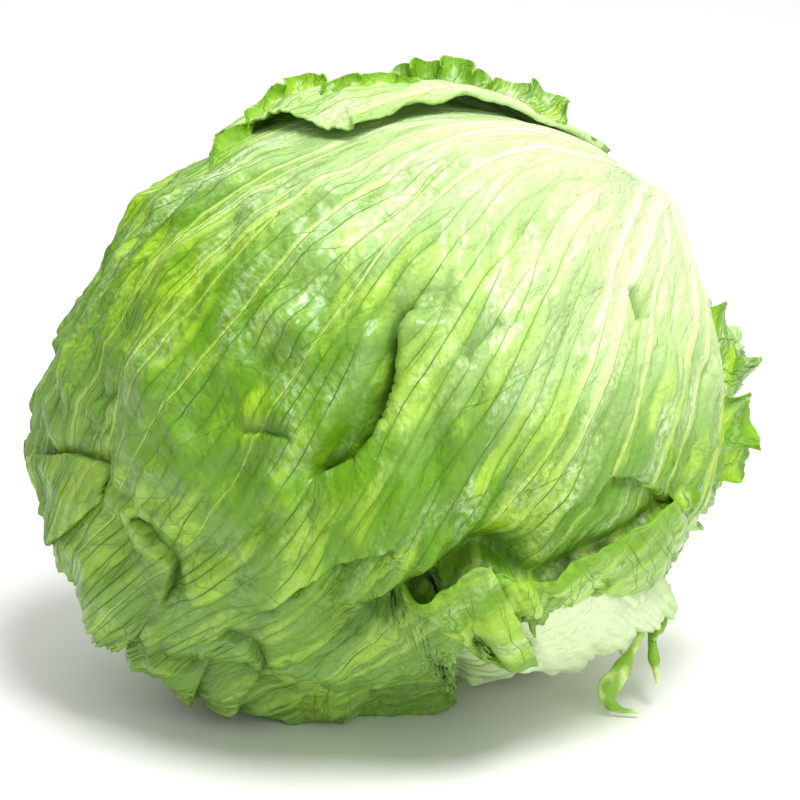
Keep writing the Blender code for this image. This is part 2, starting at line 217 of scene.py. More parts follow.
FRONT_STEPS = (
    # The pinch in the middle: its lower right lip hangs over a furrow.
    Step(((89, -8), (94, -7), (97, -4), (101, 0), (106, 3), (110, 5), (115, 6), (120, 5), (125, 3)),
         1.5 * MM, 3.8 * MM, (7, 2.6), 2.2 * MM, 1.0),
    # The flared hem at the lower right and the flap it ends in.
    Step(((61, 60), (68, 57), (74, 53), (79, 51), (85, 49), (94, 47), (100, 46), (104, 43), (106, 39),
          (108, 36), (112, 37), (117, 38), (121, 39), (126, 42), (130, 42), (134, 39)),
         2.4 * MM, 1.6 * MM, (9, 5), 0.6 * MM, 0.7, 2.2),
    # Tears at the right.
    Step(((88, 38), (86, 36), (82, 35), (77, 40), (74, 48), (72, 56), (64, 69)),
         1.2 * MM, 0.8 * MM, (6, 4), 0.8 * MM, 0.6),
    Step(((61, 20), (60, 18), (59, 16), (57, 13)),
         0.2 * MM, 0.7 * MM, (2, 1.6), 0.4 * MM, 0.8),
    Step(((81, 4), (85, 4), (88, 4), (91, 5)),
         0.5 * MM, 1.1 * MM, (4, 2.6), 0.6 * MM, 0.7),
    # Lips and torn edges at the lower left.
    Step(((152, 24), (143, 22), (136, 20), (129, 19), (122, 20), (118, 22)),
         1.6 * MM, 2.8 * MM, (6, 5), 1.6 * MM, 0.7),
    Step(((167, 9), (160, -7), (157, -15), (156, -23), (156, -33)),
         2.0 * MM, 2.4 * MM, (5, 4), 1.6 * MM, 0.8),
    Step(((170, 175), (162, 172), (168, 11)),
         1.6 * MM, 1.6 * MM, (4, 3), 1.0 * MM, 0.9),
    Step(((161, -120), (161, -73), (156, -54), (152, -56), (151, -70), (144, -117), (148, -105)),
         1.6 * MM, 1.6 * MM, (5, 4), 1.4 * MM, 0.6),
    Step(((160, 118), (164, 61), (168, 58), (172, 51)),
         1.8 * MM, 1.8 * MM, (4, 4), 1.4 * MM, 0.7),
    Step(((154, 118), (154, 56), (154, 40), (159, 35)),
         1.4 * MM, 1.4 * MM, (4, 3), 1.0 * MM, 0.6),
    Step(((121, -5), (124, -10), (128, -14)),
         0.5 * MM, 1.2 * MM, (3, 3), 0.6 * MM, 0.8),
    Step(((126, 46), (129, 43), (132, 39), (134, 35), (136, 31)),
         0.9 * MM, 0.9 * MM, (4, 3), 0.4 * MM, 0.6, 1.6),
)

# From the innermost leaf to the outermost.
LEAVES = (
    Leaf("inner_leaf_left", -45, (84, 84), 164, (116, 116), 130, 90, seed=11, green=0.15),
    Leaf("inner_leaf_right", 60, (84, 84), 160, (116, 116), 130, 90, seed=12, green=0.15),
    Leaf("leaf_back", -168, (90, 86), 158, (112, 108), 240, 170, seed=13, waves=8, green=0.6),
    Leaf("leaf_under", 104, (88, 84), 152, (96, 108), 270, 190, seed=14, waves=8, green=0.25,
         pale=(0.58, 0.86)),
    Leaf("leaf_front", 4, (104, 70), 163, (140, 136), 380, 290, seed=15, waves=9,
         ruffle=2.4 * MM, dome=1.6, skirt=4 * MM, teeth=4.2, sweep=0.38,
         green=0.85, pale=(0.35, 0.69), right_greener=0.20,
         curls=(Curl(34, 6, 9 * MM, 6 * MM), Curl(47, 6, 9 * MM, 6 * MM)),
         notches=(Notch("right", 98, 14, 30), Notch("right", 99, 4, -9), Notch("right", 107, 4, 6),
                  Notch("right", 61, 4, 6), Notch("left", 122, 7, 7))),
    Leaf("leaf_top", -122, (76, 65), 74, (77, 68), 280, 170, seed=16, waves=8,
         ruffle=-1.7 * MM, base_spread=78, green=0.4, pale=(0.26, 0.66), teeth=0.3),
)


@dataclass
class Frill:
    """A torn and ruffled piece of leaf that stands out to the left of a line on the head, as that runs."""

    name: str
    home: str  # the leaf that it belongs to
    line: tuple  # places along its foot
    length: tuple  # how far it stands out at a few places along its foot, in millimetres
    lift: tuple  # how steeply it leaves the head at those places, in degrees
    roll: float  # how far it bends on its way out, in degrees
    ruffle: float  # how far it waves up and down, in degrees
    waves: float
    pale: tuple = ()  # as for a leaf; its leaf's own where it is empty
    jagged: float = 1.0  # how uneven its edge is
    green: float = 0.8
    seed: int = 0


FRILLS = (
    Frill("top_curl_a", "leaf_top", ((92, -70), (84, -74), (76, -77), (69, -78), (62, -76)),
          (4, 6, 5, 7, 5), (40, 60, 35, 60, 50), 80, 50, 3.4, green=0.75, seed=31, pale=(0.08, 0.34)),
    Frill("top_curl_b", "leaf_top", ((68, -66), (61, -64), (54, -64), (47, -64)),
          (5, 5, 4, 3), (25, 40, 30, 30), 80, 40, 3, green=0.7, seed=32, pale=(0.08, 0.34)),
    Frill("top_curl_c", "leaf_top", ((54, -68), (48, -66), (42, -64), (36, -60)),
          (5, 8, 8, 5), (50, 70, 60, 50), 80, 60, 3.6, green=0.75, seed=33, pale=(0.06, 0.26)),
    Frill("top_curl_d", "leaf_top", ((38, -60), (33, -56), (28, -51), (23, -45)),
          (5, 7, 8, 11), (50, 50, 40, 35), 90, 50, 2.6, green=0.75, seed=34, pale=(0.06, 0.22)),
    Frill("right_lobe_a", "leaf_front", ((31, 54), (36, 60), (40, 63), (45, 64)),
          (8, 18, 20, 8), (40, 42, 38, 35), -15, 30, 1.6, green=0.8, seed=35, pale=(0.06, 0.26), jagged=0.5),
    Frill("right_lobe_b", "leaf_front", ((46, 62), (50, 66), (54, 69), (58, 72)),
          (8, 13, 13, 6), (50, 50, 40, 35), 30, 40, 2.2, green=0.8, seed=36, pale=(0.06, 0.26), jagged=0.5),
    Frill("hem_tip", "leaf_front", ((64, 68), (69, 72), (74, 75), (79, 76)),
          (8, 12, 10, 8), (30, 30, 15, 0), -50, 40, 2.6, green=0.7, seed=38),
)


@dataclass
class Lobe:
    """A flap of leaf between two lines on the head: its foot leaves the surface and its edge stands off."""

    name: str
    foot: tuple  # places along each line
    edge: tuple
    height: tuple  # of its edge over the head's plain surface, in millimetres, at a few places along it
    home: str = "leaf_front"
    swell: float = 1.0  # how far its middle bulges, in millimetres
    ruffle: float = 0.5  # how far its edge waves out, in millimetres
    waves: float = 5
    lift: tuple = (-1.0, -1.0)  # of its foot over the surface, in millimetres, at a few places along it
    joined: tuple = (True, True)  # whether its first and its last end lie down on the surface
    pale: tuple = ()  # as for a leaf; left out, it is that of its leaf
    green: float = 0.55
    teeth: float = 0.8  # height of its larger teeth, in millimetres
    seed: int = 0


LOBES = (
    Lobe("under_lobe",
         ((75, 79), (84, 69), (92, 57), (101, 52), (109, 50), (116, 53)),
         ((78, 82), (81, 83), (85, 84), (91, 85), (96, 92), (110, 68), (115, 63)),
         (10, 10, 8, 6, 4, 2, 0.8), home="leaf_under", swell=0.5, ruffle=1.3, joined=(False, True),
         green=0.25, teeth=1.6, pale=(0.62, 0.95), seed=63),
    Lobe("hem",
         ((66, 78), (70, 80), (77, 81), (84, 77), (91, 62), (99, 56), (104, 53), (108, 50), (112, 50)),
         ((70, 53), (74, 51), (79, 49), (86, 47), (94, 45), (100, 45), (104, 41), (107, 38), (110, 37)),
         (2.6, 3, 3.2, 3.2, 3.2, 3, 2.8, 2.5, 2.2), swell=1.2, waves=6, joined=(True, False),
         pale=(0.05, 0.40), seed=61),
    Lobe("flap",
         ((106, 64), (108, 64), (111, 63), (114, 60), (116, 52), (119, 47), (121, 44), (124, 42)),
         ((107, 34), (108, 33), (111, 33), (114, 34), (117, 35), (120, 36), (123, 36)),
         (6, 6, 5.5, 5, 4.5, 3.5, 2.5), ruffle=0.3, waves=3, joined=(False, True),
         lift=(4.0, 3.4, 2.6, 1.2, -0.4, -1, -1), pale=(0.05, 0.40), seed=62),
    Lobe("low_leaf_b",
         ((175, -63), (170, -178), (169, 159), (167, 141), (156, 149), (163, 85)),
         ((168, -146), (170, 180), (169, 152), (166, 132), (163, 124), (159, 116)),
         (2, 3.5, 4, 4, 3.5, 2.5), ruffle=0.9, green=0.85, teeth=3.2, seed=67),
    Lobe("low_leaf_c",
         ((162, 72), (157, 74), (152, 72), (147, 66), (141, 63), (135, 65)),
         ((158, 115), (153, 109), (149, 105), (144, 102), (140, 92), (134, 97)),
         (2.5, 3.5, 4, 4, 3.5, 2.5), ruffle=0.8, green=0.85, teeth=3.0, seed=68),
)


@dataclass
class Strand:
    """A thin torn strip of leaf that hangs from the head."""

    name: str
    points: tuple  # along it, in millimetres
    width: tuple  # in millimetres, along it
    turn: tuple  # of its flat side about its own line, in degrees


STRANDS = (
    Strand("strand_long",
           ((60, -17, 23), (61.2, -24, 18.5), (58.6, -29, 14.5), (55.4, -32, 10.0), (52.8, -33.5, 6.4),
            (52.9, -34, 3.4), (55.8, -34.5, 1.7), (60, -35, 1.6)),
           (2.6, 2.0, 2.6, 4.6, 5.0, 3.2, 2.4, 0.5), (0, 10, -15, 10, -10, 20, 40, 50)),
    Strand("strand_right", ((63, -16, 23), (63.4, -22, 17), (64.0, -25, 12), (64.8, -28, 6)),
           (3.4, 1.6, 3.0, 0.5), (10, 20, 0, 20)),
    Strand("strand_left", ((55, -18, 24), (54.4, -23, 17.5), (56.4, -26, 12.6)),
           (2.6, 1.8, 0.5), (0, 30, 40)),
    Strand("strand_top", ((66, -14, 26), (66.8, -20, 20), (63.6, -26, 16)),
           (4.2, 3.0, 0.8), (0, -20, 20)),
)


def smooth_step(x):
    x = np.clip(x, 0, 1)
    return x * x * (3 - 2 * x)


def bump(x):
    return np.exp(-x * x)


def direction(from_stem, round_stem):
    """Unit vectors at these angles from the stem's axis and round it, in radians."""
    across = np.sin(from_stem)[..., None]
    fore = across * np.cos(round_stem)[..., None] * FORE
    side = across * np.sin(round_stem)[..., None] * SIDE
    return np.cos(from_stem)[..., None] * STEM_AXIS + fore + side


def place(degrees):
    from_stem, round_stem = np.radians(degrees)
    return direction(np.array(from_stem), np.array(round_stem))


def from_line(towards, places):
    """For each direction: its distance in degrees from a line of places, signed positive to the line's left
    as it runs; the direction to the left there; and how far along the line it lies, from 0 to 1."""
    corners = np.array([place(p) for p in places])
    nearest = np.full(towards.shape[:-1], np.inf)
    signed = np.zeros_like(nearest)
    progress = np.zeros_like(nearest)
    left = np.zeros_like(towards)
    count = len(corners) - 1
    for n, (start, end) in enumerate(zip(corners[:-1], corners[1:])):
        along = end - start
        share = np.clip((towards - start) @ along / (along @ along), 0, 1)
        offset = towards - start - share[..., None] * along
        gap = np.linalg.norm(offset, axis=-1)
        closer = gap < nearest
        to_left = unit(np.cross(start + end, along))
        nearest = np.where(closer, gap, nearest)
        signed = np.where(closer, gap * np.sign(offset @ to_left), signed)
        progress = np.where(closer, (n + share) / count, progress)
        left = np.where(closer[..., None], to_left, left)
    return np.degrees(signed), left, progress


def outline_radius(turn):
    """The smooth closed curve through OUTLINE, as its Fourier series."""
    waves = np.fft.rfft(OUTLINE) / len(OUTLINE)
    radius = np.full_like(turn, waves[0].real)
    for n, wave in enumerate(waves[1:], start=1):
        share = 1 if 2 * n == len(OUTLINE) else 2
        radius = radius + share * (wave * np.exp(1j * n * turn)).real
    return radius


def plain_radius(towards):
    """From the centre to the surface without its hollows. Cuts through the front axis are ellipses."""
    right, up, front = towards @ OUTLINE_RIGHT, towards @ OUTLINE_UP, towards @ TO_FRONT
    outline = outline_radius(np.arctan2(up, right))
    return 1 / np.sqrt((np.hypot(right, up) / outline) ** 2 + (front / HALF_DEPTH) ** 2)


def head_radius(towards):
    radius = plain_radius(towards)
    for hollow in HOLLOWS:
        radius = radius - hollow.depth * bump(from_line(towards, hollow.line)[0] / hollow.width)
    return radius


def own_angles(leaf, towards):
    """A leaf's own coordinates: angle from the stem along its lines, and between the line and its midrib."""
    azimuth = radians(leaf.azimuth)
    fore = FORE * cos(azimuth) + SIDE * sin(azimuth)
    side = SIDE * cos(azimuth) - FORE * sin(azimuth)
    flat = (towards @ fore + 1j * (towards @ side)) / np.maximum(1 + towards @ STEM_AXIS, 1e-6)
    own = flat / (1 + flat * np.tan(radians(leaf.overshoot) / 2))
    return 2 * np.arctan(np.abs(own)), np.angle(own)


def from_own_angles(leaf, along, across):
    """The direction at a leaf's own coordinates."""
    own = np.tan(along / 2) * np.exp(1j * across)
    flat = own / (1 - own * np.tan(radians(leaf.overshoot) / 2))
    return direction(2 * np.arctan(np.abs(flat)), np.angle(flat) + radians(leaf.azimuth))


def half_spread(leaf, along, across, notched=True):
    """How far the leaf reaches from its midrib, on the side where across lies, this far from the stem."""
    widest = np.where(across < 0, *np.radians(leaf.spread))
    base = radians(leaf.base_spread)
    spread = base + (widest - base) * smooth_step((along - LEAF_START) / radians(52))
    for notch in leaf.notches if notched else ():
        there = across < 0 if notch.edge == "left" else across >= 0
        cut = radians(notch.depth) * bump(((np.degrees(along) - notch.middle) / notch.half_width) ** 2)
        spread = spread - np.where(there, cut, 0)
    return spread


def reach(leaf, share):
    """How far the leaf reaches from the stem, for a share of its spread from -1 to 1."""
    corner = np.where(share < 0, *np.radians(leaf.corners))
    return radians(leaf.tip) - (radians(leaf.tip) - corner) * np.abs(share) ** leaf.dome


def inside(leaf, towards):
    """How far inside the leaf's plain outline each direction lies, as an angle; it is negative outside."""
    along, across = own_angles(leaf, towards)
    spread = half_spread(leaf, along, across)
    share = np.clip(across / spread, -1, 1)
    from_side = (spread - np.abs(across)) * np.sin(along)
    return np.minimum(from_side, reach(leaf, share) - along)


def cover(leaf, towards):
    """1 under or over the leaf, falling smoothly to 0 beyond its edge."""
    return smooth_step((inside(leaf, towards) + MARGIN_REACH + MARGIN_RAMP) / MARGIN_RAMP)


def leaves_under(order, towards):
    """How many leaves lie under the leaf of this order, falling smoothly at their edges."""
    return sum((cover(leaf, towards) for leaf in LEAVES[:order]), np.zeros(towards.shape[:-1]))


def leaves_over(order, towards):
    return sum((cover(leaf, towards) for leaf in LEAVES[order + 1:]), np.zeros(towards.shape[:-1]))


def rest_height(order, towards):
    """The lowest a leaf may lie: on the surface, or on the leaves between it and the surface."""
    return LEAF_THICKNESS / 2 + LEAF_PITCH * leaves_over(order, towards)


def noise_wave(seed, x, count=5):
    """A smooth random wave along x, about -1 to 1, the same for the same seed."""
    random = np.random.default_rng(seed)
    value = np.zeros_like(x)
    for n in range(1, count + 1):
        value = value + random.uniform(0.5, 1) * np.sin(n * x + random.uniform(0, 2 * pi)) / n**0.5
    return value / count**0.5


def rough_field(seed, *axes, waves=28, spread=0.5):
    """Smooth random ground over the axes, each already divided by its own wavelength; about -1 to 1."""
    random = np.random.default_rng(seed)
    value = np.zeros_like(axes[0])
    for _ in range(waves):
        turn = random.uniform(-1, 1, len(axes))
        turn = turn / np.linalg.norm(turn) * random.uniform(1 - spread, 1 + spread)
        phase = sum(rate * axis for rate, axis in zip(turn, axes))
        value = value + np.cos(2 * pi * phase + random.uniform(0, 2 * pi))
    return value / waves**0.5


def ragged(seed, x):
    """Teeth of uneven width and height with pointed tops, one for about each unit of x, from 0 to 1."""
    random = np.random.default_rng(seed)
    size = 512
    heights = random.uniform(0.0, 1.0, size) ** 1.3
    peaks = random.uniform(0.25, 0.75, size)
    warped = x + 0.4 * noise_wave(seed + 1, x * 0.7)
    cell = np.floor(warped)
    part = warped - cell
    number = cell.astype(int) % size
    peak = peaks[number]
    rise = np.where(part < peak, part / peak, (1 - part) / (1 - peak))
    return heights[number] * rise**0.8


def margin_teeth(leaf, x):
    """How far a leaf's edge reaches past its plain outline, x metres along that edge, as an angle."""
    lobes = ragged(leaf.seed, x / (15 * MM)) + ragged(leaf.seed + 5, x / (8 * MM)) * 0.5
    small = ragged(leaf.seed + 9, x / (3.4 * MM)) * 0.25
    return radians(leaf.teeth) * (lobes + small - 0.5)


# Veins.


@dataclass
class Fan:
    """Veins that leave the stem side by side and fork as the leaf widens."""

    along: np.ndarray  # angles from the stem of the table's rows
    across: np.ndarray  # rows by veins: each vein's place
    width: np.ndarray  # rows by veins, in metres; 0 where the vein isn't there
    ribs: np.ndarray  # which of the veins are ribs
    twigs: np.ndarray  # which of them are twigs


VEIN_STEP = radians(1)
VEIN_GAP = 3.9 * MM
FORK_GAP = (1.4, 2.4)  # two veins this many times VEIN_GAP apart get a new one between them
FORK_SIZE = (0.42, 0.72)  # of the new one, as a share of its parent's
MOST_VEINS = 400
FIRST_VEINS = 11
FIRST_SIZE = (0.6, 1.25)  # of those, as a share of RIB_WIDTH
DRIFT = 0.035  # how fast a vein starts to wander, in millimetres a row
DRIFT_KEPT = 0.93  # from one row to the next
SPACED_OUT = 0.10  # the share by which a vein moves to the middle between its neighbours in a row
VEIN_TAPER = 0.58  # the share of its width that a vein loses on its way to the crown
PAST_TIP = 12  # the veins' table goes on past the leaf's tip, in degrees
THINNEST_VEIN = 0.26 * MM
RIB_WIDTH = 3.3 * MM  # of the first veins where they leave the stem
SMALLEST_RIB = 1.7 * MM  # at the stem
TWIG_WIDTH = 0.24 * MM
FORK_REST = 9  # rows between a vein's forks
TWIG_CHANCE = 0.05  # that a vein sends out a twig in a row
TWIG_SLOPE = (0.22, 0.6)  # how fast a twig leaves its vein
TWIG_ROWS = (7, 18)
TWIG_START = radians(40)  # nearer the stem there are none
MOST_TWIGS = 800
HEAD_RADIUS = 76 * MM


def line_spacing(leaf, along):
    """Metres on the head for a radian between two of a leaf's lines, near its midrib."""
    own = np.tan(along / 2)
    pull = 1 - own * np.tan(radians(leaf.overshoot) / 2)
    flat = own / pull
    return 2 * HEAD_RADIUS * own / (pull**2 * (1 + flat**2))


SWEEP_START = radians(42)
SWEEP_END = radians(135)


def sweep_rate(leaf, along, across):
    """How fast the leaf's veins turn to the right at this place; those on its left side don't."""
    lasting = smooth_step((along - SWEEP_START) / 0.25) * smooth_step((SWEEP_END - along) / 0.5)
    return leaf.sweep * lasting * smooth_step((across + 0.8) / 0.8)


def carried_back(leaf, along, across):
    """Where the line through each place left the stem: the across angle it had there."""
    line = across.copy()
    for row in np.arange(SWEEP_END, SWEEP_START, -VEIN_STEP):
        line = np.where(along > row, line - sweep_rate(leaf, row, line) * VEIN_STEP, line)
    return line


@dataclass
class Twig:
    """A thin vein that leaves another one at a sharp angle."""

    place: float
    slope: float
    first_row: int
    rows_left: int
    path: list


def grow_twigs(twigs, row, ordered, scale):
    """Lets the twigs grow by a row. A twig ends where it meets the next of the veins."""
    for twig in twigs:
        if twig.rows_left <= 0:
            continue
        moved = twig.place + twig.slope * VEIN_STEP * HEAD_RADIUS / scale
        crossed = np.searchsorted(ordered, moved) != np.searchsorted(ordered, twig.place)
        twig.rows_left = 0 if crossed and row > twig.first_row + 1 else twig.rows_left - 1
        twig.place = moved
        twig.path.append(moved)


def grow_fan(leaf):
    """Lets the veins grow outwards row by row: they keep apart from each other, wander a little and fork.
    Twigs leave them at a sharp angle and end at the next vein or run out before it."""
    random = np.random.default_rng(leaf.seed + 100)
    rows = np.arange(LEAF_START, radians(leaf.tip + PAST_TIP), VEIN_STEP)
    spread_left = half_spread(leaf, rows, np.array(-1.0), notched=False)
    spread_right = half_spread(leaf, rows, np.array(1.0), notched=False)
    places = list(np.linspace(-spread_left[0], spread_right[0], FIRST_VEINS + 2)[1:-1])
    drift = [0.0] * FIRST_VEINS
    size = list(RIB_WIDTH * random.uniform(*FIRST_SIZE, FIRST_VEINS))
    born = [0] * FIRST_VEINS
    last_fork = [0] * FIRST_VEINS
    order = list(range(FIRST_VEINS))  # vein numbers from left to right
    table = np.zeros((len(rows), MOST_VEINS))
    widths = np.zeros_like(table)
    twigs = []
    for row, along in enumerate(rows):
        scale = line_spacing(leaf, along)
        before = max(row - 1, 0)
        for vein in order:
            widened = spread_left if places[vein] < 0 else spread_right
            places[vein] *= widened[row] / widened[before]
            places[vein] += sweep_rate(leaf, along, places[vein]) * VEIN_STEP
        order = [vein for vein in order if places[vein] < spread_right[row] + VEIN_STEP]
        last = 2 * places[order[-1]] - places[order[-2]] if leaf.sweep else spread_right[row]
        ends = [-spread_left[row], *(places[vein] for vein in order), last]
        for n, vein in enumerate(order):
            middle = (ends[n] + ends[n + 2]) / 2
            drift[vein] = DRIFT_KEPT * drift[vein] + random.normal(0, DRIFT) * MM
            places[vein] += SPACED_OUT * (middle - ends[n + 1]) + drift[vein] / scale
        n = 0
        while n < len(order) - 1:
            gap = (places[order[n + 1]] - places[order[n]]) * scale
            rested = [vein for vein in (order[n], order[n + 1]) if row - last_fork[vein] > FORK_REST]
            if rested and gap > VEIN_GAP * random.uniform(*FORK_GAP):
                parent = random.choice(rested)
                last_fork[parent] = row
                last_fork.append(row)
                places.append(places[parent])
                drift.append(0.0)
                size.append(size[parent] * random.uniform(*FORK_SIZE))
                born.append(row)
                order.insert(n + 1, len(places) - 1)
                n += 1
            n += 1
        taper = 1 - VEIN_TAPER * smooth_step((along - LEAF_START) / radians(125))
        for vein in order:
            table[row, vein] = places[vein]
            grown = smooth_step((row - born[vein]) / 3) if born[vein] else 1
            widths[row, vein] = max(size[vein] * taper, THINNEST_VEIN) * grown
            if random.random() < TWIG_CHANCE and along > TWIG_START:
                turn = random.choice((-1, 1))
                slope = random.uniform(*TWIG_SLOPE) * turn
                twigs.append(Twig(places[vein], slope, row, random.integers(*TWIG_ROWS), []))
        grow_twigs(twigs, row, np.sort([places[vein] for vein in order]), scale)
    veins = len(places)
    twigs = twigs[:MOST_TWIGS]
    table, widths = (np.pad(rates[:, :veins], ((0, 0), (0, len(twigs)))) for rates in (table, widths))
    for vein in range(veins):
        table[:born[vein], vein] = table[born[vein], vein]
    for column, twig in enumerate(twigs, start=veins):
        chosen = slice(twig.first_row, twig.first_row + len(twig.path))
        table[:, column] = twig.path[-1]
        table[chosen, column] = twig.path
        widths[chosen, column] = TWIG_WIDTH * np.linspace(1, 0.55, len(twig.path))
    ribs = np.zeros(veins + len(twigs), bool)
    ribs[:veins] = np.array(size) > SMALLEST_RIB
    return Fan(rows, table, widths, ribs, np.arange(len(ribs)) >= veins)


def nearest_vein(leaf, fan, along, across, chosen_ones):
    """Distance to the nearest of the chosen veins and that vein's width, in metres."""
    places, widths = fan.across[:, chosen_ones], fan.width[:, chosen_ones]
    nearest = np.empty_like(along)
    nearest_width = np.empty_like(along)
    for line in range(len(along)):
        row = np.clip((along[line] - fan.along[0]) / VEIN_STEP, 0, len(fan.along) - 1.001)
        low = row.astype(int)
        part = (row - low)[:, None]
        there = places[low] * (1 - part) + places[low + 1] * part
        width = np.minimum(widths[low], widths[low + 1])
        gap = np.abs(across[line][:, None] - there) * line_spacing(leaf, along[line])[:, None]
        chosen = np.argmin(np.where(width > 0, gap, 1.0), axis=1)[:, None]
        nearest[line] = np.take_along_axis(gap, chosen, 1)[:, 0]
        nearest_width[line] = np.take_along_axis(width, chosen, 1)[:, 0]
    return nearest, nearest_width


# Leaves.


COLUMN_POWER = 1.2  # the grid's columns and rows lie closer near the leaf's edge
ROW_POWER = 0.92


def leaf_grid(leaf):
    """Each grid point's own angles, its share of the spread and its distance from the leaf's edge."""
    step = np.linspace(-1, 1, leaf.columns + 1)
    share = np.sign(step) * (1 - (1 - np.abs(step)) ** COLUMN_POWER)
    row = np.linspace(0, 1, leaf.rows + 1) ** ROW_POWER
    share, row = np.meshgrid(share, row, indexing="ij")
    toothed = reach(leaf, share) + margin_teeth(leaf, share * HEAD_RADIUS * 1.1)
    along = LEAF_START + row * (toothed - LEAF_START)
    spread = half_spread(leaf, along, share)
    past_base = smooth_step((along - 0.3) / 0.5)
    side_teeth = margin_teeth(leaf, along * HEAD_RADIUS + 3 * (share > 0)) * share**12
    wavy = 1 + side_teeth * past_base / (spread * np.sin(along))
    across = share * spread * wavy
    from_side = (1 - np.abs(share)) * spread * np.sin(along)
    return along, across, share, np.minimum(from_side, toothed - along), from_side < toothed - along


NUDGE = 0.01  # a small angle, to find the way across a leaf's lines


def rolled(leaf, points, towards, share, along, across, free, curl):
    """The points with one stretch of the leaf's right edge rolled outwards round a cylinder along it."""
    place_on_edge = (np.degrees(along) - curl.middle) / curl.half_width
    outward = unit_rows(from_own_angles(leaf, along, across + NUDGE) - towards)
    on_right = share > 0
    edge = np.where(on_right, (1 - np.abs(share)) * half_spread(leaf, along, share) * np.sin(along), 1)
    uneven = 1 + 0.3 * noise_wave(leaf.seed + 8, place_on_edge * 3)
    amount = bump(place_on_edge) * free * on_right * uneven
    rolled_length = np.clip(curl.depth * amount - edge * HALF_DEPTH, 0, None)
    angle = rolled_length / curl.radius
    back = (curl.radius * np.sin(angle) - rolled_length)[..., None] * outward
    return points + back + (curl.radius * (1 - np.cos(angle)))[..., None] * towards


@dataclass
class Sheet:
    """A leaf's middle surface as a grid of points, and what its finish needs to know at each of them."""

    points: np.ndarray
    towards: np.ndarray
    along: np.ndarray
    across: np.ndarray
    edge: np.ndarray  # distance from the leaf's edge, in metres
    free: np.ndarray
    rib_gap: np.ndarray  # distance to the nearest rib, and that rib's width
    rib_width: np.ndarray
    vein_gap: np.ndarray  # distance to the nearest rib or thin vein
    line: np.ndarray  # the across angle with which the vein through each point leaves the stem
    fan: Fan
    deep: np.ndarray  # how much shade is painted on it for lying in a hollow or under a step, from 0 to 1


def pucker(leaf, along, across, rib_gap, rib_width, vein_gap):
    """Height of the flesh: it swells between the veins, and the ribs stand out of it."""
    past_base = smooth_step((along - radians(18)) / radians(45))
    lengthwise, crosswise = along * HEAD_RADIUS, across * HEAD_RADIUS
    lumps = rough_field(leaf.seed + 200, lengthwise / (15 * MM), crosswise / (9 * MM))
    small_lumps = rough_field(leaf.seed + 201, lengthwise / (6 * MM), crosswise / (4.2 * MM))
    pebbles = rough_field(leaf.seed + 202, lengthwise / (2.6 * MM), crosswise / (3.4 * MM), waves=40)
    broad = (1 - bump(rib_gap / (3.0 * MM))) * (0.85 + 0.75 * lumps)
    narrow = (1 - bump(vein_gap / (1.1 * MM))) * (0.34 + 0.20 * lumps + 0.30 * small_lumps + 0.11 * pebbles)
    wide_enough = smooth_step((rib_width - 0.3 * MM) / (0.8 * MM))
    ridge = 0.42 * rib_width * bump(rib_gap / (0.6 * rib_width + 0.1 * MM)) * wide_enough
    return (broad + narrow) * MM * (0.12 + 0.88 * past_base) + ridge


def ground_field(seed, towards, size):
    """Rough ground over the whole head, its swells about this size."""
    axes = (OUTLINE_RIGHT, OUTLINE_UP, TO_FRONT)
    return rough_field(seed, *(towards @ axis * HEAD_RADIUS / size for axis in axes))


def crumple(leaf, towards, along, across):
    """Broad uneven ground with furrows along the veins, which turns into sharp creases towards the crown."""
    broad = ground_field(leaf.seed + 300, towards, 60 * MM)
    middle = ground_field(leaf.seed + 301, towards, 26 * MM)
    small = ground_field(leaf.seed + 303, towards, 12 * MM)
    furrows = rough_field(leaf.seed + 304, along * HEAD_RADIUS / (70 * MM), across * HEAD_RADIUS / (17 * MM))
    crease = 1 - 2.2 * np.abs(ground_field(leaf.seed + 302, towards, 34 * MM))
    fine_crease = 1 - 2.2 * np.abs(ground_field(leaf.seed + 305, towards, 17 * MM))
    past_base = smooth_step((along - radians(30)) / radians(40))
    to_crown = smooth_step((along - radians(98)) / radians(42))
    ground = (0.8 * broad + past_base * (0.5 * middle + 0.25 * small + 0.7 * furrows)) * MM
    sharp = 1.5 * np.clip(crease, -0.8, 1) + 0.8 * np.clip(fine_crease, -0.8, 1) + 0.5 * middle
    return ground + to_crown * sharp * MM


LIP_WIDTH = 2.6  # of a step's lip, in degrees
STEP_SHELTER = 2.0  # how far the shade under it reaches, in degrees
LINE_END = 0.12  # the share of a fold or a step over which each end dies out
DEEPEST_HOLLOW = 12 * MM  # a hollow this deep gets the full painted shade


def faded_ends(progress, share):
    """1 along a line, falling smoothly to 0 over this share of it at both ends."""
    return smooth_step(progress / share) * smooth_step((1 - progress) / share)


def folds_and_steps(towards, free):
    """What these do to the outermost leaf: how far they lift it and push it sideways, how calm they leave
    the flesh beside them, and how much shade is painted on it under the steps."""
    lift = np.zeros_like(free)
    sideways = np.zeros_like(towards)
    calm = np.ones_like(free)
    deep = np.zeros_like(free)
    for fold in FRONT_FOLDS:
        away, _, progress = from_line(towards, fold.line)
        crest = bump(away / np.where(away > 0, *fold.width))
        lift = lift + fold.height * free * faded_ends(progress, LINE_END) * crest
    for step in FRONT_STEPS:
        away, left, progress = from_line(towards, step.line)
        ends = free * faded_ends(progress, LINE_END)
        over = smooth_step(away / step.width + 0.5)
        rise = step.up * over * bump(away / step.fade[0])
        fall = step.down * (1 - over) * bump(away / step.fade[1])
        lift = lift + ends * (rise - fall)
        sideways = sideways - (step.lean * ends * over * bump(away / LIP_WIDTH))[..., None] * left
        calm = np.minimum(calm, 1 - 0.8 * ends * bump(away / LIP_WIDTH))
        # Painted shade on the flesh just under the step's lip.
        step_shade = smooth_step(-away / step.width) * bump((away + step.width) / STEP_SHELTER) * step.dark
        deep = np.maximum(deep, ends * step_shade)
    return lift, sideways, calm, deep


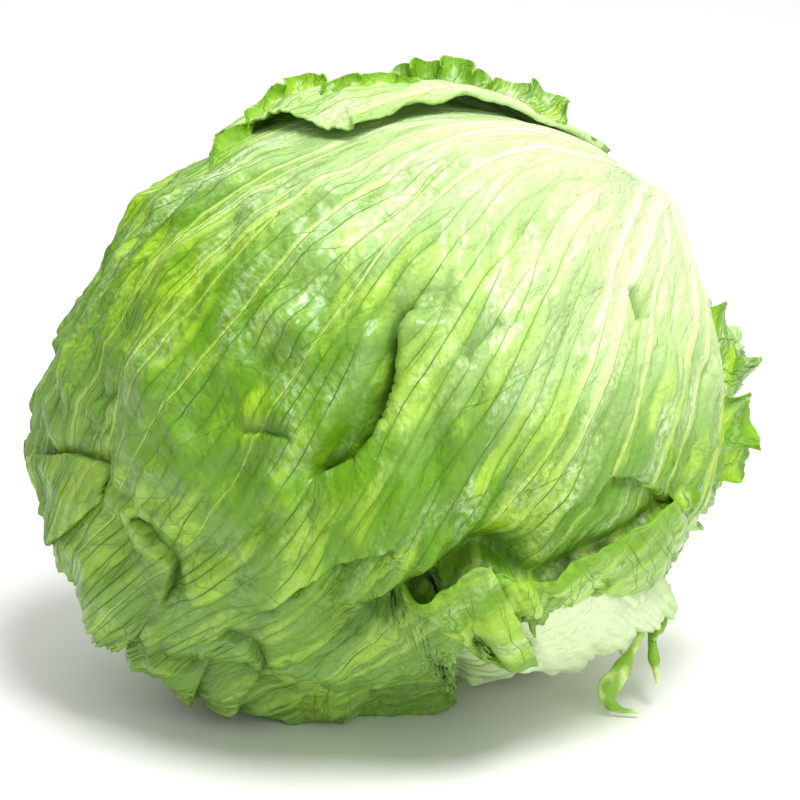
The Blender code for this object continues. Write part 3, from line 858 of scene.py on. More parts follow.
def free_edge(leaf, along, share, edge, at_side):
    """How far a free edge stands off: it waves outwards and flutters finely, most at its very edge."""
    run = np.where(at_side, along * 2.2 + 9 * np.sign(share), share * 3)
    wave = 0.5 + 0.5 * np.sin(run * leaf.waves * 0.75 + leaf.seed)
    flutter = noise_wave(leaf.seed + 7, run * leaf.waves * 2.6, count=7)
    to_tip = reach(leaf, share) - along
    off = leaf.ruffle * (0.35 + wave) * bump(edge / radians(6.5))
    off = off + 0.7 * max(leaf.ruffle, 0) * flutter * bump(edge / radians(3.2))
    return off + leaf.skirt * bump(to_tip / radians(17)) * smooth_step((along - 1.2) / 0.5)


def leaf_sheet(order):
    """The middle surface of the leaf of this order."""
    leaf = LEAVES[order]
    along, across, share, edge, at_side = leaf_grid(leaf)
    towards = from_own_angles(leaf, along, across)
    free = np.prod([1 - cover(outer, towards) for outer in LEAVES[order + 1:]], axis=0) * np.ones_like(along)
    fan = grow_fan(leaf)
    rib_gap, rib_width = nearest_vein(leaf, fan, along, across, fan.ribs)
    vein_gap = nearest_vein(leaf, fan, along, across, ~fan.twigs)[0]
    line = carried_back(leaf, along, across) if leaf.sweep else across
    height = LEAF_PITCH * (0.5 + leaves_under(order, towards)) - STACK - COVERED_SINK * (1 - free)
    from_edge = smooth_step(edge / radians(5))
    height = height + crumple(leaf, towards, along, line) * free * (0.4 + 0.6 * from_edge)
    # Painted shade: flesh in a hollow is darkened, the more the deeper the hollow.
    deep = np.zeros_like(along)
    for hollow in HOLLOWS:
        away = from_line(towards, hollow.line)[0]
        deep = np.maximum(deep, hollow.depth / DEEPEST_HOLLOW * bump(away / hollow.width * 1.3))
    calm = 1
    sideways = 0
    if leaf.name == "leaf_front":
        lift, sideways, calm, shade_under_steps = folds_and_steps(towards, free)
        height = height + lift
        deep = np.maximum(deep, shade_under_steps)
    height = height + pucker(leaf, along, line, rib_gap, rib_width, vein_gap) * (0.15 + 0.85 * free) * calm
    height = height + free * free_edge(leaf, along, share, edge, at_side)
    points = CENTRE + towards * (head_radius(towards) + height)[..., None] + sideways
    for curl in leaf.curls:
        points = rolled(leaf, points, towards, share, along, across, free, curl)
    points[..., 2] = np.maximum(points[..., 2], rest_height(order, towards))
    edge = edge * HEAD_RADIUS
    return Sheet(points, towards, along, across, edge, free, rib_gap, rib_width, vein_gap, line, fan, deep)


def grid_normals(points, towards):
    normal = np.cross(np.gradient(points, axis=0), np.gradient(points, axis=1))
    normal = normal / np.maximum(np.linalg.norm(normal, axis=-1, keepdims=True), 1e-12)
    return normal * np.sign(np.sum(normal * towards))


def double_faces(columns, rows):
    """Quads over a sheet's outer face, its inner face and the rim between them."""
    i, j = np.meshgrid(np.arange(columns), np.arange(rows), indexing="ij")
    a = (i * (rows + 1) + j).ravel()
    b = a + rows + 1
    inner = (columns + 1) * (rows + 1)
    outer_quads = np.stack((a, b, b + 1, a + 1), axis=1)
    inner_quads = outer_quads[:, ::-1] + inner
    left = np.arange(rows + 1)
    right = left + columns * (rows + 1)
    base = np.arange(columns + 1) * (rows + 1)
    tip = base + rows
    rims = []
    for line, flipped in ((left, False), (right, True), (base, True), (tip, False)):
        start, end = (line[1:], line[:-1]) if flipped else (line[:-1], line[1:])
        rims.append(np.stack((start, end, end + inner, start + inner), axis=1))
    return np.concatenate((outer_quads, inner_quads, *rims))


def ring_faces(rings, sides):
    """Quads between rings of points that follow one another."""
    i, j = np.meshgrid(np.arange(rings - 1), np.arange(sides), indexing="ij")
    k = (j + 1) % sides
    faces = np.stack((i * sides + j, (i + 1) * sides + j, (i + 1) * sides + k, i * sides + k), axis=-1)
    return faces.reshape(-1, 4)


def mesh_object(name, points, faces, made_of):
    mesh = bpy.data.meshes.new(name)
    mesh.vertices.add(len(points))
    mesh.vertices.foreach_set("co", np.ascontiguousarray(points, np.float32).ravel())
    sides = faces.shape[1]
    mesh.loops.add(faces.size)
    mesh.loops.foreach_set("vertex_index", np.ascontiguousarray(faces, np.int32).ravel())
    mesh.polygons.add(len(faces))
    mesh.polygons.foreach_set("loop_start", np.arange(0, faces.size, sides, dtype=np.int32))
    mesh.update(calc_edges=True)
    mesh.validate()
    mesh.materials.append(made_of)
    mesh.shade_smooth()
    made = bpy.data.objects.new(name, mesh)
    bpy.context.scene.collection.objects.link(made)
    return made


def add_value(mesh, name, values):
    attribute = mesh.attributes.new(name, "FLOAT", "POINT")
    attribute.data.foreach_set("value", np.ascontiguousarray(values, np.float32).ravel())


def add_map(mesh, across, along):
    """A map of the leaf whose two directions run across and along its lines, in head radii."""
    layer = mesh.uv_layers.new(name="lines")
    corners = np.empty(len(mesh.loops), np.int32)
    mesh.loops.foreach_get("vertex_index", corners)
    both = np.stack((across, along), axis=-1).reshape(-1, 2)
    both = np.concatenate((both, both))
    layer.data.foreach_set("uv", np.ascontiguousarray(both[corners], np.float32).ravel())


def thickness(edge, ramp):
    """Of a leaf this far from its edge: it is thin there and grows to its full thickness over the ramp."""
    return EDGE_THICKNESS + (LEAF_THICKNESS - EDGE_THICKNESS) * smooth_step(edge / ramp)


def two_faced(name, made_of, outer, inner, lowest, values, line, along):
    """A sheet of leaf from its two faces' points, with the values and the map that its finish needs."""
    points = np.concatenate((outer.reshape(-1, 3), inner.reshape(-1, 3)))
    points[:, 2] = np.maximum(points[:, 2], lowest)
    made = mesh_object(name, points, double_faces(outer.shape[0] - 1, outer.shape[1] - 1), made_of)
    for value_name, grid in values.items():
        add_value(made.data, value_name, np.concatenate((grid.ravel(), grid.ravel())))
    add_map(made.data, line, along)
    return made


def sample(grid, column, row):
    """The grid's values between its points."""
    columns, rows = grid.shape[0] - 1, grid.shape[1] - 1
    column = np.clip(column, 0, columns - 0.001)
    row = np.clip(row, 0, rows - 0.001)
    i, j = column.astype(int), row.astype(int)
    u, v = (column - i)[:, None], (row - j)[:, None]
    return (grid[i, j] * (1 - u) * (1 - v) + grid[i + 1, j] * u * (1 - v)
            + grid[i, j + 1] * (1 - u) * v + grid[i + 1, j + 1] * u * v)


def on_leaf_grid(leaf, grid, along, across):
    """Values of the leaf's grid at its own angles, and which of these lie on the leaf."""
    share = across / half_spread(leaf, along, across)
    step = np.sign(share) * (1 - (1 - np.clip(np.abs(share), 0, 1)) ** (1 / COLUMN_POWER))
    toothed = reach(leaf, share) + margin_teeth(leaf, share * HEAD_RADIUS * 1.1)
    row_share = (along - LEAF_START) / (toothed - LEAF_START)
    row = np.clip(row_share, 0, 1) ** (1 / ROW_POWER) * leaf.rows
    return sample(grid, (step + 1) / 2 * leaf.columns, row), (np.abs(share) < 0.975) & (row_share < 0.985)


VEIN_FINENESS = 3  # points of a vein's line for each row of its fan
VEIN_LIFT = 0.07 * MM
FEWEST_ROWS = 4  # a vein that lasts for fewer has no line
THINNEST_LINE = 0.14 * MM
WIDEST_LINE = 0.34 * MM
RIB_CORE = 0.55 * MM  # a rib wider than this has its line along one side of it only: partly its dark edge, partly painted shade
TAPER_POINTS = 8
BARED = 0.05  # lines show where the leaf is at least this free of those over it
STEEPEST_LINE = 0.62  # and where its normal is at least this close to the way out

# The small pieces of leaf.
PIECE_VEIN_GAP = 5.0 * MM
PIECE_VEIN_POINTS = 60
PIECE_VEIN_WIDTH = (0.24, 0.12)  # at its foot and at its end, in millimetres
LEAST_VEINED_GREEN = 0.3  # a piece paler than this has no raised veins
FAR_FROM_VEINS = 9.0  # in millimetres, where the finish shows neither vein nor rib


def raised_lines(name, lines, pale_reach):
    """Thin raised lines on a surface. Each is given by its points, the surface's normals there, its widths
    and how far from the stem it lies."""
    points, faces, tones = [], [], []
    start = 0
    for line, up, width, from_stem in lines:
        count = len(line)
        if count < TAPER_POINTS:
            continue
        up = unit_rows(up)
        beside = unit_rows(np.cross(up, np.gradient(line, axis=0)))
        from_end = np.minimum(np.arange(count), np.arange(count)[::-1])
        half = beside * (width / 2 * (0.35 + 0.65 * np.minimum(1, from_end / TAPER_POINTS)))[:, None]
        across = np.stack((line - half, line + up * VEIN_LIFT, line + half), axis=1).reshape(-1, 3)
        across[:, 2] = np.maximum(across[:, 2], 0)
        points.append(across)
        tones.append(np.repeat(from_stem, 3))
        k = start + 3 * np.arange(count - 1)
        faces.append(np.stack((k, k + 1, k + 4, k + 3), axis=1))
        faces.append(np.stack((k + 1, k + 2, k + 5, k + 4), axis=1))
        start += 3 * count
    if not points:
        return []
    made = mesh_object(name, np.concatenate(points), np.concatenate(faces), vein_material(name, pale_reach))
    add_value(made.data, "from_stem", np.concatenate(tones))
    return [made]


def runs(chosen):
    """The stretches of a row of yes and no that are yes, as pairs of first and last plus one."""
    changes = np.flatnonzero(np.diff(np.concatenate(([0], chosen, [0]))))
    return zip(changes[::2], changes[1::2])


def leaf_veins(leaf, sheet, outer, normal):
    """The lines of a leaf: its fine veins, and a dark line along one side of each rib, partly its own dark
    edge and partly painted shade.
    """
    fan = sheet.fan
    level = np.sum(normal * sheet.towards, axis=-1)
    grid = np.concatenate((outer, normal, np.stack((sheet.free, level), axis=-1)), axis=-1)
    lines = []
    for vein in range(fan.across.shape[1]):
        rows = np.flatnonzero(fan.width[:, vein] > 0)
        if len(rows) < FEWEST_ROWS:
            continue
        at = np.linspace(rows[0], rows[-1], (len(rows) - 1) * VEIN_FINENESS + 1)
        along = np.interp(at, rows, fan.along[rows])
        across = np.interp(at, rows, fan.across[rows, vein])
        width = np.interp(at, rows, fan.width[rows, vein])
        core = np.clip(width - RIB_CORE, 0, None)
        thin = np.clip(width * 0.9, THINNEST_LINE, WIDEST_LINE) * np.where(core > 0, 0.7, 1)
        # A rib's line is moved to one side of it only: partly its dark edge, partly painted shade on that
        # side.
        beside = across + core / 2 / line_spacing(leaf, along)
        there, on_leaf = on_leaf_grid(leaf, grid, along, beside)
        for first, last in runs(on_leaf & (there[:, 6] > BARED) & (there[:, 7] > STEEPEST_LINE)):
            part = slice(first, last)
            lines.append((there[part, :3], there[part, 3:6], thin[part], along[part] / pi))
    return raised_lines(leaf.name + "_veins", lines, leaf.pale)


def strip_veins(name, seed, outer, normal, from_stem, run, pale_reach):
    """The lines of a small piece of leaf: veins that cross it from its foot to its edge, and fork."""
    random = np.random.default_rng(seed)
    grid = np.concatenate((outer, normal, from_stem[..., None]), axis=-1)
    columns, rows = outer.shape[0] - 1, outer.shape[1] - 1
    count = max(2, int(run / PIECE_VEIN_GAP))
    out = np.linspace(0, 0.97, PIECE_VEIN_POINTS)
    widths = np.linspace(*PIECE_VEIN_WIDTH, PIECE_VEIN_POINTS)
    lines = []
    for n in range(count):
        start = (n + random.uniform(0.25, 0.75)) / count
        lean = random.uniform(-0.5, 0.5) / count
        path = start + lean * out + 0.12 / count * noise_wave(seed + n, out * 6)
        fork = random.uniform(0.15, 0.5)
        turn = random.choice((-1, 1)) * random.uniform(0.4, 0.8) / count
        branch = path + turn * np.clip(out - fork, 0, None)
        for way, begin in ((path, 0.0), (branch, fork)):
            part = out >= begin
            there = sample(grid, way[part] * columns, out[part] * rows)
            lines.append((there[:, :3], there[:, 3:6], widths[part] * MM, there[:, 6]))
    return raised_lines(name + "_veins", lines, pale_reach)


def make_leaf(order):
    """A leaf's blade and the fine veins on its outside."""
    leaf = LEAVES[order]
    sheet = leaf_sheet(order)
    normal = grid_normals(sheet.points, sheet.towards)
    thick = np.where(sheet.along < radians(60), LEAF_THICKNESS, thickness(sheet.edge, 5 * MM))
    petiole = (BASE_THICKNESS - LEAF_THICKNESS) * bump((sheet.along - LEAF_START) / radians(9)) * sheet.free
    outer = sheet.points + normal * (thick / 2 + petiole)[..., None]
    inner = sheet.points - normal * (thick / 2)[..., None]
    to_right = smooth_step(sheet.across / radians(55))
    values = {
        "rib_gap": sheet.rib_gap / MM,
        "rib_width": sheet.rib_width / MM,
        "vein_gap": sheet.vein_gap / MM,
        "deep": sheet.deep,
        "edge": sheet.edge / MM,
        "from_stem": sheet.along / pi + leaf.right_greener * to_right,
    }
    flesh = leaf_material(leaf.name, leaf.green, leaf.pale)
    blade = two_faced(leaf.name + "_blade", flesh, outer, inner, 0, values, sheet.line, sheet.along)
    return [blade] + leaf_veins(leaf, sheet, outer, normal)


# Frills, lobes and torn strands.


def smooth_path(points, count):
    """A smooth curve through the points, as count points evenly spaced in the curve's own measure."""
    points = np.array(points, float)
    padded = np.concatenate((2 * points[:1] - points[1:2], points, 2 * points[-1:] - points[-2:-1]))
    at = np.linspace(0, len(points) - 1, count)
    low = np.minimum(at.astype(int), len(points) - 2)
    part = (at - low)[:, None]
    before, start, end, after = (padded[low + n] for n in range(4))
    slope_in, slope_out = (end - before) / 2, (after - start) / 2
    cube, square = part**3, part**2
    return ((2 * cube - 3 * square + 1) * start + (cube - 2 * square + part) * slope_in
            + (3 * square - 2 * cube) * end + (cube - square) * slope_out)


def smooth_line(line, times):
    """Evens out a row of points or numbers, all but its two ends."""
    for _ in range(times):
        line[1:-1] = (line[:-2] + 2 * line[1:-1] + line[2:]) / 4


def line_directions(places, count):
    """A smooth line through the places, as count directions from the head's centre."""
    return smooth_path([place(p) for p in places], count)


def line_length(directions):
    return np.linalg.norm(np.diff(directions, axis=0), axis=1).sum() * HEAD_RADIUS


def leaf_named(name):
    return next(leaf for leaf in LEAVES if leaf.name == name)


def surface_under(tree, towards):
    """Where lines from outside to the head's centre meet its leaves."""
    hits = []
    for heading in towards:
        start = Vector(CENTRE + heading * 2 * HEAD_RADIUS)
        place_hit = tree.ray_cast(start, -Vector(heading))[0]
        hits.append(place_hit if place_hit is not None else CENTRE + heading * HEAD_RADIUS)
    return np.array(hits)


def along_line(values, share):
    return np.interp(share, np.linspace(0, 1, len(values)), values)


FRILL_COLUMNS_PER_MM = 2.4
FRILL_ROWS = 44
FRILL_SINK = 0.6 * MM  # of its foot under the surface


def make_frill(frill, tree):
    """The frill as a grid of points: it leaves the surface steeply and bends and waves on its way out."""
    random = np.random.default_rng(frill.seed)
    run = line_length(line_directions(frill.line, 40))
    columns = int(run / MM * FRILL_COLUMNS_PER_MM) + 20
    towards = unit_rows(line_directions(frill.line, columns + 1))
    foot = surface_under(tree, towards) - FRILL_SINK * towards
    smooth_line(foot, 12)
    tangent = unit_rows(np.gradient(foot, axis=0))
    away = unit_rows(np.cross(towards, tangent))
    share = np.linspace(0, 1, columns + 1)
    x = share * run
    coarse, fine = ragged(frill.seed, x / (10 * MM)), ragged(frill.seed + 3, x / (3.4 * MM))
    lobes = 0.75 + frill.jagged * (0.30 * coarse + 0.12 * fine)
    length = along_line(frill.length, share) * MM * lobes * (0.25 + 0.75 * faded_ends(share, 0.10))
    lift = np.radians(along_line(frill.lift, share))
    start = random.uniform(0, 2 * pi)
    phase = 2 * pi * frill.waves * share + start + 0.8 * noise_wave(frill.seed + 2, share * 7)
    out = np.linspace(0, 1, FRILL_ROWS + 1)
    wave = np.radians(frill.ruffle) * np.sin(phase)[:, None] * out**1.2
    fine_wave = radians(16) * noise_wave(frill.seed + 4, share[:, None] * 60 + 1.5 * out) * out**2
    angle = lift[:, None] + radians(frill.roll) * out**1.5 + wave + fine_wave
    step = length[:, None] / FRILL_ROWS * (out > 0)
    forward = np.cumsum(np.cos(angle) * step, axis=1)
    upward = np.cumsum(np.sin(angle) * step, axis=1)
    fanned = 0.30 * np.cos(phase)[:, None] * out**1.5 * length[:, None]
    fanned = fanned + (share - 0.5)[:, None] * 0.35 * out * length[:, None]
    points = foot[:, None, :] + forward[..., None] * away[:, None, :]
    points = points + upward[..., None] * towards[:, None, :]
    points = points + fanned[..., None] * tangent[:, None, :]
    points[..., 2] = np.maximum(points[..., 2], LEAF_THICKNESS)
    return leaf_piece(frill, points, towards[:, None, :], (1 - out) * length[:, None], run)


def leaf_piece(piece, points, towards, edge, run):
    """A small piece of leaf from its grid of points. Its finish goes on from that of its own leaf."""
    home = leaf_named(piece.home)
    pale_reach = piece.pale or home.pale
    normal = grid_normals(points, towards)
    half = (thickness(edge, 4 * MM) / 2)[..., None]
    outer = points + normal * half
    along, across = own_angles(home, unit_rows(points - CENTRE))
    values = {
        "rib_gap": np.full_like(edge, FAR_FROM_VEINS),
        "rib_width": np.full_like(edge, 0.1),
        "vein_gap": np.full_like(edge, FAR_FROM_VEINS),
        "edge": edge / MM,
        "from_stem": along / pi,
    }
    flesh = leaf_material(piece.name, piece.green, pale_reach)
    made = two_faced(piece.name, flesh, outer, points - normal * half, 0.1 * MM, values, across, along)
    if piece.green < LEAST_VEINED_GREEN:
        return [made]
    return [made] + strip_veins(piece.name, piece.seed, outer, normal, along / pi, run, pale_reach)


LOBE_COLUMNS_PER_MM = 2.2
LOBE_ROWS = 40


def make_lobe(lobe, tree):
    """The lobe as a grid of points, over the flesh along its foot and off the head along its edge."""
    run = line_length(line_directions(lobe.edge, 60))
    columns = int(run / MM * LOBE_COLUMNS_PER_MM) + 20
    foot = unit_rows(line_directions(lobe.foot, columns + 1))
    edge = unit_rows(line_directions(lobe.edge, columns + 1))
    share = np.linspace(0, 1, columns + 1)
    x = share * run
    out = np.linspace(0, 1, LOBE_ROWS + 1)
    length = np.linalg.norm(edge - foot, axis=1) * HEAD_RADIUS
    coarse, fine = ragged(lobe.seed, x / (9 * MM)), ragged(lobe.seed + 3, x / (4.2 * MM))
    stretch = 1 + (lobe.teeth * (coarse - 0.4) + 0.35 * fine) * MM / length
    part = out * stretch[:, None]
    towards = unit_rows(foot[:, None, :] + (edge - foot)[:, None, :] * part[..., None])
    on_foot = np.linalg.norm(surface_under(tree, foot) - CENTRE, axis=1) + along_line(lobe.lift, share) * MM
    on_edge = plain_radius(edge) + along_line(lobe.height, share) * MM
    under_edge = np.linalg.norm(surface_under(tree, edge) - CENTRE, axis=1) - 1.0 * MM
    stands = np.ones_like(share)  # 0 at an end that lies down on the surface
    if lobe.joined[0]:
        stands = stands * smooth_step(share / 0.14)
    if lobe.joined[1]:
        stands = stands * smooth_step((1 - share) / 0.14)
    on_edge = under_edge + (on_edge - under_edge) * stands
    smooth_line(on_foot, 16)
    smooth_line(on_edge, 16)
    radius = on_foot[:, None] + (on_edge - on_foot)[:, None] * part
    radius = radius + lobe.swell * MM * np.sin(pi * np.clip(part, 0, 1)) * stands[:, None]
    wave = np.sin(2 * pi * lobe.waves * share + lobe.seed) + 0.6 * noise_wave(lobe.seed + 1, share * 30)
    radius = radius + lobe.ruffle * MM * wave[:, None] * part**3
    radius = radius - 0.9 * MM * smooth_step((part - 0.86) / 0.14)
    outwards = part * length[:, None]
    wrinkles = rough_field(lobe.seed + 5, x[:, None] / (4.5 * MM) + 0 * out, outwards / (9 * MM))
    radius = radius + 0.28 * MM * wrinkles * (0.3 + part)
    points = CENTRE + towards * radius[..., None]
    points[..., 2] = np.maximum(points[..., 2], LEAF_THICKNESS)
    return leaf_piece(lobe, points, towards, (stretch[:, None] - part) * length[:, None], run)


def make_strand(strand):
    """The strand as a flat, folded tube along its points."""
    length, sides = 90, 12
    line = smooth_path(np.array(strand.points) * MM, length)
    share = np.linspace(0, 1, length)
    width = along_line(strand.width, share) * MM * (1 + 0.25 * noise_wave(len(strand.name), share * 9))
    turn = np.radians(along_line(strand.turn, share))
    tangent = unit_rows(np.gradient(line, axis=0))
    flat = unit_rows(np.cross(tangent, np.array((0.0, -1.0, 0.3))))
    normal = np.cross(tangent, flat)
    wide = flat * np.cos(turn)[:, None] + normal * np.sin(turn)[:, None]
    thin = np.cross(tangent, wide)
    angle = np.linspace(0, 2 * pi, sides, endpoint=False)
    fold = 0.16 * np.cos(angle) ** 2
    ring = (np.cos(angle) / 2)[None, :, None] * width[:, None, None] * wide[:, None, :]
    depth = (np.sin(angle) * 0.45 * MM)[None, :] + fold[None, :] * width[:, None]
    points = line[:, None, :] + ring + depth[..., None] * thin[:, None, :]
    points[..., 2] = np.maximum(points[..., 2], 0.1 * MM)
    return mesh_object(strand.name, points.reshape(-1, 3), ring_faces(length, sides), strand_material())


# Heart and stem.


def heart_relief(towards):
    """Height of the heart's own leaves: each overlaps the next in a spiral, with a raised edge."""
    height = np.zeros(towards.shape[:-1])
    for n in range(HEART_LEAVES):
        leaf = Leaf("", np.degrees(n * GOLDEN_ANGLE) % 360 - 180, (70, 70), 138, (105, 105), 0, 0)
        level = HEART_STEP * (n + 1) / HEART_LEAVES
        height = np.maximum(height, level * smooth_step(inside(leaf, towards) / 0.06))
    return height - HEART_STEP


def make_heart():
    rings, sides = 120, 240
    from_stem = np.linspace(radians(9), pi - 0.002, rings)
    round_stem = np.linspace(0, 2 * pi, sides, endpoint=False)
    from_stem, round_stem = np.meshgrid(from_stem, round_stem, indexing="ij")
    towards = direction(from_stem, round_stem)
    wrinkles = rough_field(9, from_stem * 5, np.cos(round_stem) * 6, np.sin(round_stem) * 6) * 0.25 * MM
    radius = head_radius(towards) - STACK - TOUCH_GAP + heart_relief(towards) + wrinkles
    points = CENTRE + towards * radius[..., None]
    lowest = LEAF_PITCH * (leaves_under(len(LEAVES), towards) + 0.5)
    points[..., 2] = np.maximum(points[..., 2], lowest)
    return mesh_object("heart_ball", points.reshape(-1, 3), ring_faces(rings, sides), heart_material())


def make_stem():
    rings, sides = 120, 160
    # Radius and distance from the head's centre, from the cut face to the core's tip.
    profile = np.array((
        (0.0, STEM_CUT - 1.0 * MM),
        (STEM_RADIUS * 0.30, STEM_CUT - 0.9 * MM),
        (STEM_RADIUS * 0.60, STEM_CUT - 0.5 * MM),
        (STEM_RADIUS * 0.80, STEM_CUT - 0.1 * MM),
        (STEM_RADIUS - 1.6 * MM, STEM_CUT),
        (STEM_RADIUS - 0.9 * MM, STEM_CUT - 0.5 * MM),
        (STEM_RADIUS - 0.6 * MM, STEM_CUT - 1.4 * MM),
        (STEM_RADIUS - 0.6 * MM, STEM_CUT - 5 * MM),
        (STEM_RADIUS - 0.6 * MM, STEM_CUT - 9 * MM),
        (STEM_RADIUS - 1.0 * MM, STEM_CUT - 20 * MM),
        (CORE_TIP_RADIUS + 1.5 * MM, STEM_CUT - CORE_LENGTH + 8 * MM),
        (CORE_TIP_RADIUS * 0.75, STEM_CUT - CORE_LENGTH + 1.5 * MM),
        (0.0, STEM_CUT - CORE_LENGTH),
    ))
    steps = np.linspace(0, len(profile) - 1, rings)
    radius = np.interp(steps, np.arange(len(profile)), profile[:, 0])
    height = np.interp(steps, np.arange(len(profile)), profile[:, 1])
    turn = np.linspace(0, 2 * pi, sides, endpoint=False)
    radius, turn_grid = np.meshgrid(radius, turn, indexing="ij")
    height = height[:, None] + np.zeros_like(radius)
    uneven = rough_field(21, np.cos(turn_grid) * 2, np.sin(turn_grid) * 2, height / (9 * MM))
    radius = radius * (1 + 0.035 * uneven)
    fore, side = radius * np.cos(turn_grid), radius * np.sin(turn_grid)
    height = height + 0.25 * MM * rough_field(22, fore / (6 * MM), side / (6 * MM))
    points = CENTRE + STEM_AXIS * height[..., None] + fore[..., None] * FORE + side[..., None] * SIDE
    return mesh_object("cut_stem", points.reshape(-1, 3), ring_faces(rings, sides), stem_material())


# Finishes.


class Nodes:
    """Short calls for building a material's nodes."""

    def __init__(self, name):
        self.material = bpy.data.materials.new(name)
        self.material.use_nodes = True
        self.tree = self.material.node_tree
        self.shader = self.tree.nodes["Principled BSDF"]

    def link(self, source, target):
        self.tree.links.new(source, target)

    def put(self, socket, value):
        if isinstance(value, bpy.types.NodeSocket):
            self.link(value, socket)
        else:
            socket.default_value = value

    def value(self, name):
        node = self.tree.nodes.new("ShaderNodeAttribute")
        node.attribute_name = name
        return node.outputs["Fac"]

    def math(self, operation, one, two):
        node = self.tree.nodes.new("ShaderNodeMath")
        node.operation = operation
        self.put(node.inputs[0], one)
        self.put(node.inputs[1], two)
        return node.outputs[0]

    def ramp(self, value, low, high):
        """0 where value is low, 1 where it is high, smooth between; low may be above high."""
        node = self.tree.nodes.new("ShaderNodeMapRange")
        node.interpolation_type = "SMOOTHSTEP"
        self.put(node.inputs["Value"], value)
        self.put(node.inputs["From Min"], low)
        self.put(node.inputs["From Max"], high)
        return node.outputs["Result"]

    def times(self, one, two):
        return self.math("MULTIPLY", one, two)

    def plus(self, one, two):
        return self.math("ADD", one, two)

    def mix(self, share, one, two):
        node = self.tree.nodes.new("ShaderNodeMix")
        node.data_type = "RGBA"
        self.put(node.inputs["Factor"], share)
        self.put(node.inputs[6], one)
        self.put(node.inputs[7], two)
        return node.outputs[2]

    def lines_map(self, across, along):
        """The leaf's own map, scaled so that a pattern's cells are this wide and long."""
        uv = self.tree.nodes.new("ShaderNodeUVMap")
        uv.uv_map = "lines"
        scale = self.tree.nodes.new("ShaderNodeVectorMath")
        scale.operation = "MULTIPLY"
        self.link(uv.outputs["UV"], scale.inputs[0])
        scale.inputs[1].default_value = (HEAD_RADIUS / across, HEAD_RADIUS / along, 1)
        return scale.outputs[0]

    def solid_map(self, size):
        """A map of the space round the head, scaled so that a pattern's cells are this big."""
        coordinates = self.tree.nodes.new("ShaderNodeTexCoord")
        scale = self.tree.nodes.new("ShaderNodeVectorMath")
        scale.operation = "SCALE"
        self.link(coordinates.outputs["Object"], scale.inputs[0])
        scale.inputs["Scale"].default_value = 1 / size
        return scale.outputs[0]

    def noise(self, vector, detail=2.0, roughness=0.5, distortion=0.0):
        node = self.tree.nodes.new("ShaderNodeTexNoise")
        self.link(vector, node.inputs["Vector"])
        node.inputs["Scale"].default_value = 1
        node.inputs["Detail"].default_value = detail
        node.inputs["Roughness"].default_value = roughness
        node.inputs["Distortion"].default_value = distortion
        return node.outputs["Fac"]

    def bent(self, vector, size, amount):
        """The vector pushed about by noise, so that a pattern's straight lines wander."""
        noise = self.tree.nodes.new("ShaderNodeTexNoise")
        noise.inputs["Scale"].default_value = size
        noise.inputs["Detail"].default_value = 2
        self.link(vector, noise.inputs["Vector"])
        shift = self.tree.nodes.new("ShaderNodeVectorMath")
        shift.operation = "MULTIPLY_ADD"
        self.link(noise.outputs["Color"], shift.inputs[0])
        shift.inputs[1].default_value = (amount, amount, 0)
        self.link(vector, shift.inputs[2])
        return shift.outputs[0]

    def cell_edge(self, vector):
        """Distance to the nearest edge of a net of cells."""
        node = self.tree.nodes.new("ShaderNodeTexVoronoi")
        node.voronoi_dimensions = "2D"
        node.feature = "DISTANCE_TO_EDGE"
        node.inputs["Scale"].default_value = 1
        self.link(vector, node.inputs["Vector"])
        return node.outputs["Distance"]

    def bump(self, height, distance, normal=None):
        node = self.tree.nodes.new("ShaderNodeBump")
        node.inputs["Distance"].default_value = distance
        self.link(height, node.inputs["Height"])
        if normal is not None:
            self.link(normal, node.inputs["Normal"])
        return node.outputs["Normal"]

    def finish(self, colour, normal, roughness):
        self.link(colour, self.shader.inputs["Base Color"])
        self.link(normal, self.shader.inputs["Normal"])
        self.put(self.shader.inputs["Roughness"], roughness)
        return self.material

    def scatter(self, weight, radius, scale):
        """Lets light go this far into the flesh."""
        self.shader.inputs["Subsurface Weight"].default_value = weight
        self.shader.inputs["Subsurface Radius"].default_value = radius
        self.shader.inputs["Subsurface Scale"].default_value = scale


# Each of these is for a pale yellow-green leaf first, and then for a dark green one.
LIGHT_FLESH = np.array(((0.45, 0.67, 0.10), (0.31, 0.55, 0.006)))
DARK_FLESH = np.array(((0.28, 0.52, 0.03), (0.10, 0.27, 0.0003)))
PALE_FLESH = np.array(((0.72, 0.84, 0.52), (0.56, 0.75, 0.34)))


def green_colours(green):
    """Flesh in the light, flesh in its darker streaks and the pale base, for how green a leaf is."""
    mixed = (pair[0] * (1 - green) + pair[1] * green for pair in (LIGHT_FLESH, DARK_FLESH, PALE_FLESH))
    return tuple((*colour, 1) for colour in mixed)


RIB_COLOUR = (0.50, 0.70, 0.10, 1)
PALE_RIB_COLOUR = (0.80, 0.90, 0.56, 1)
PAINTED_SHADE_COLOUR = (0.035, 0.12, 0.001, 1)
VEIN_COLOUR = (0.05, 0.17, 0.001, 1)
PALE_VEIN_COLOUR = (0.44, 0.66, 0.16, 1)
PAINTED_SHEEN_COLOUR = (0.80, 0.92, 0.58, 1)
EDGE_COLOUR = (0.19, 0.42, 0.015, 1)
DULL_COLOUR = (0.30, 0.44, 0.16, 1)
LIGHTER_VEIN_COLOUR = (0.14, 0.34, 0.008, 1)
STRAND_COLOURS = ((0.62, 0.78, 0.28, 1), (0.22, 0.44, 0.02, 1))
HEART_COLOURS = ((0.80, 0.86, 0.52, 1), (0.58, 0.74, 0.26, 1))
CUT_COLOURS = ((0.64, 0.62, 0.42, 1), (0.52, 0.45, 0.24, 1))
BROWNED_COLOUR = (0.42, 0.22, 0.09, 1)
FLOOR_COLOURS = ((0.90, 0.90, 0.89, 1), (0.84, 0.84, 0.83, 1))


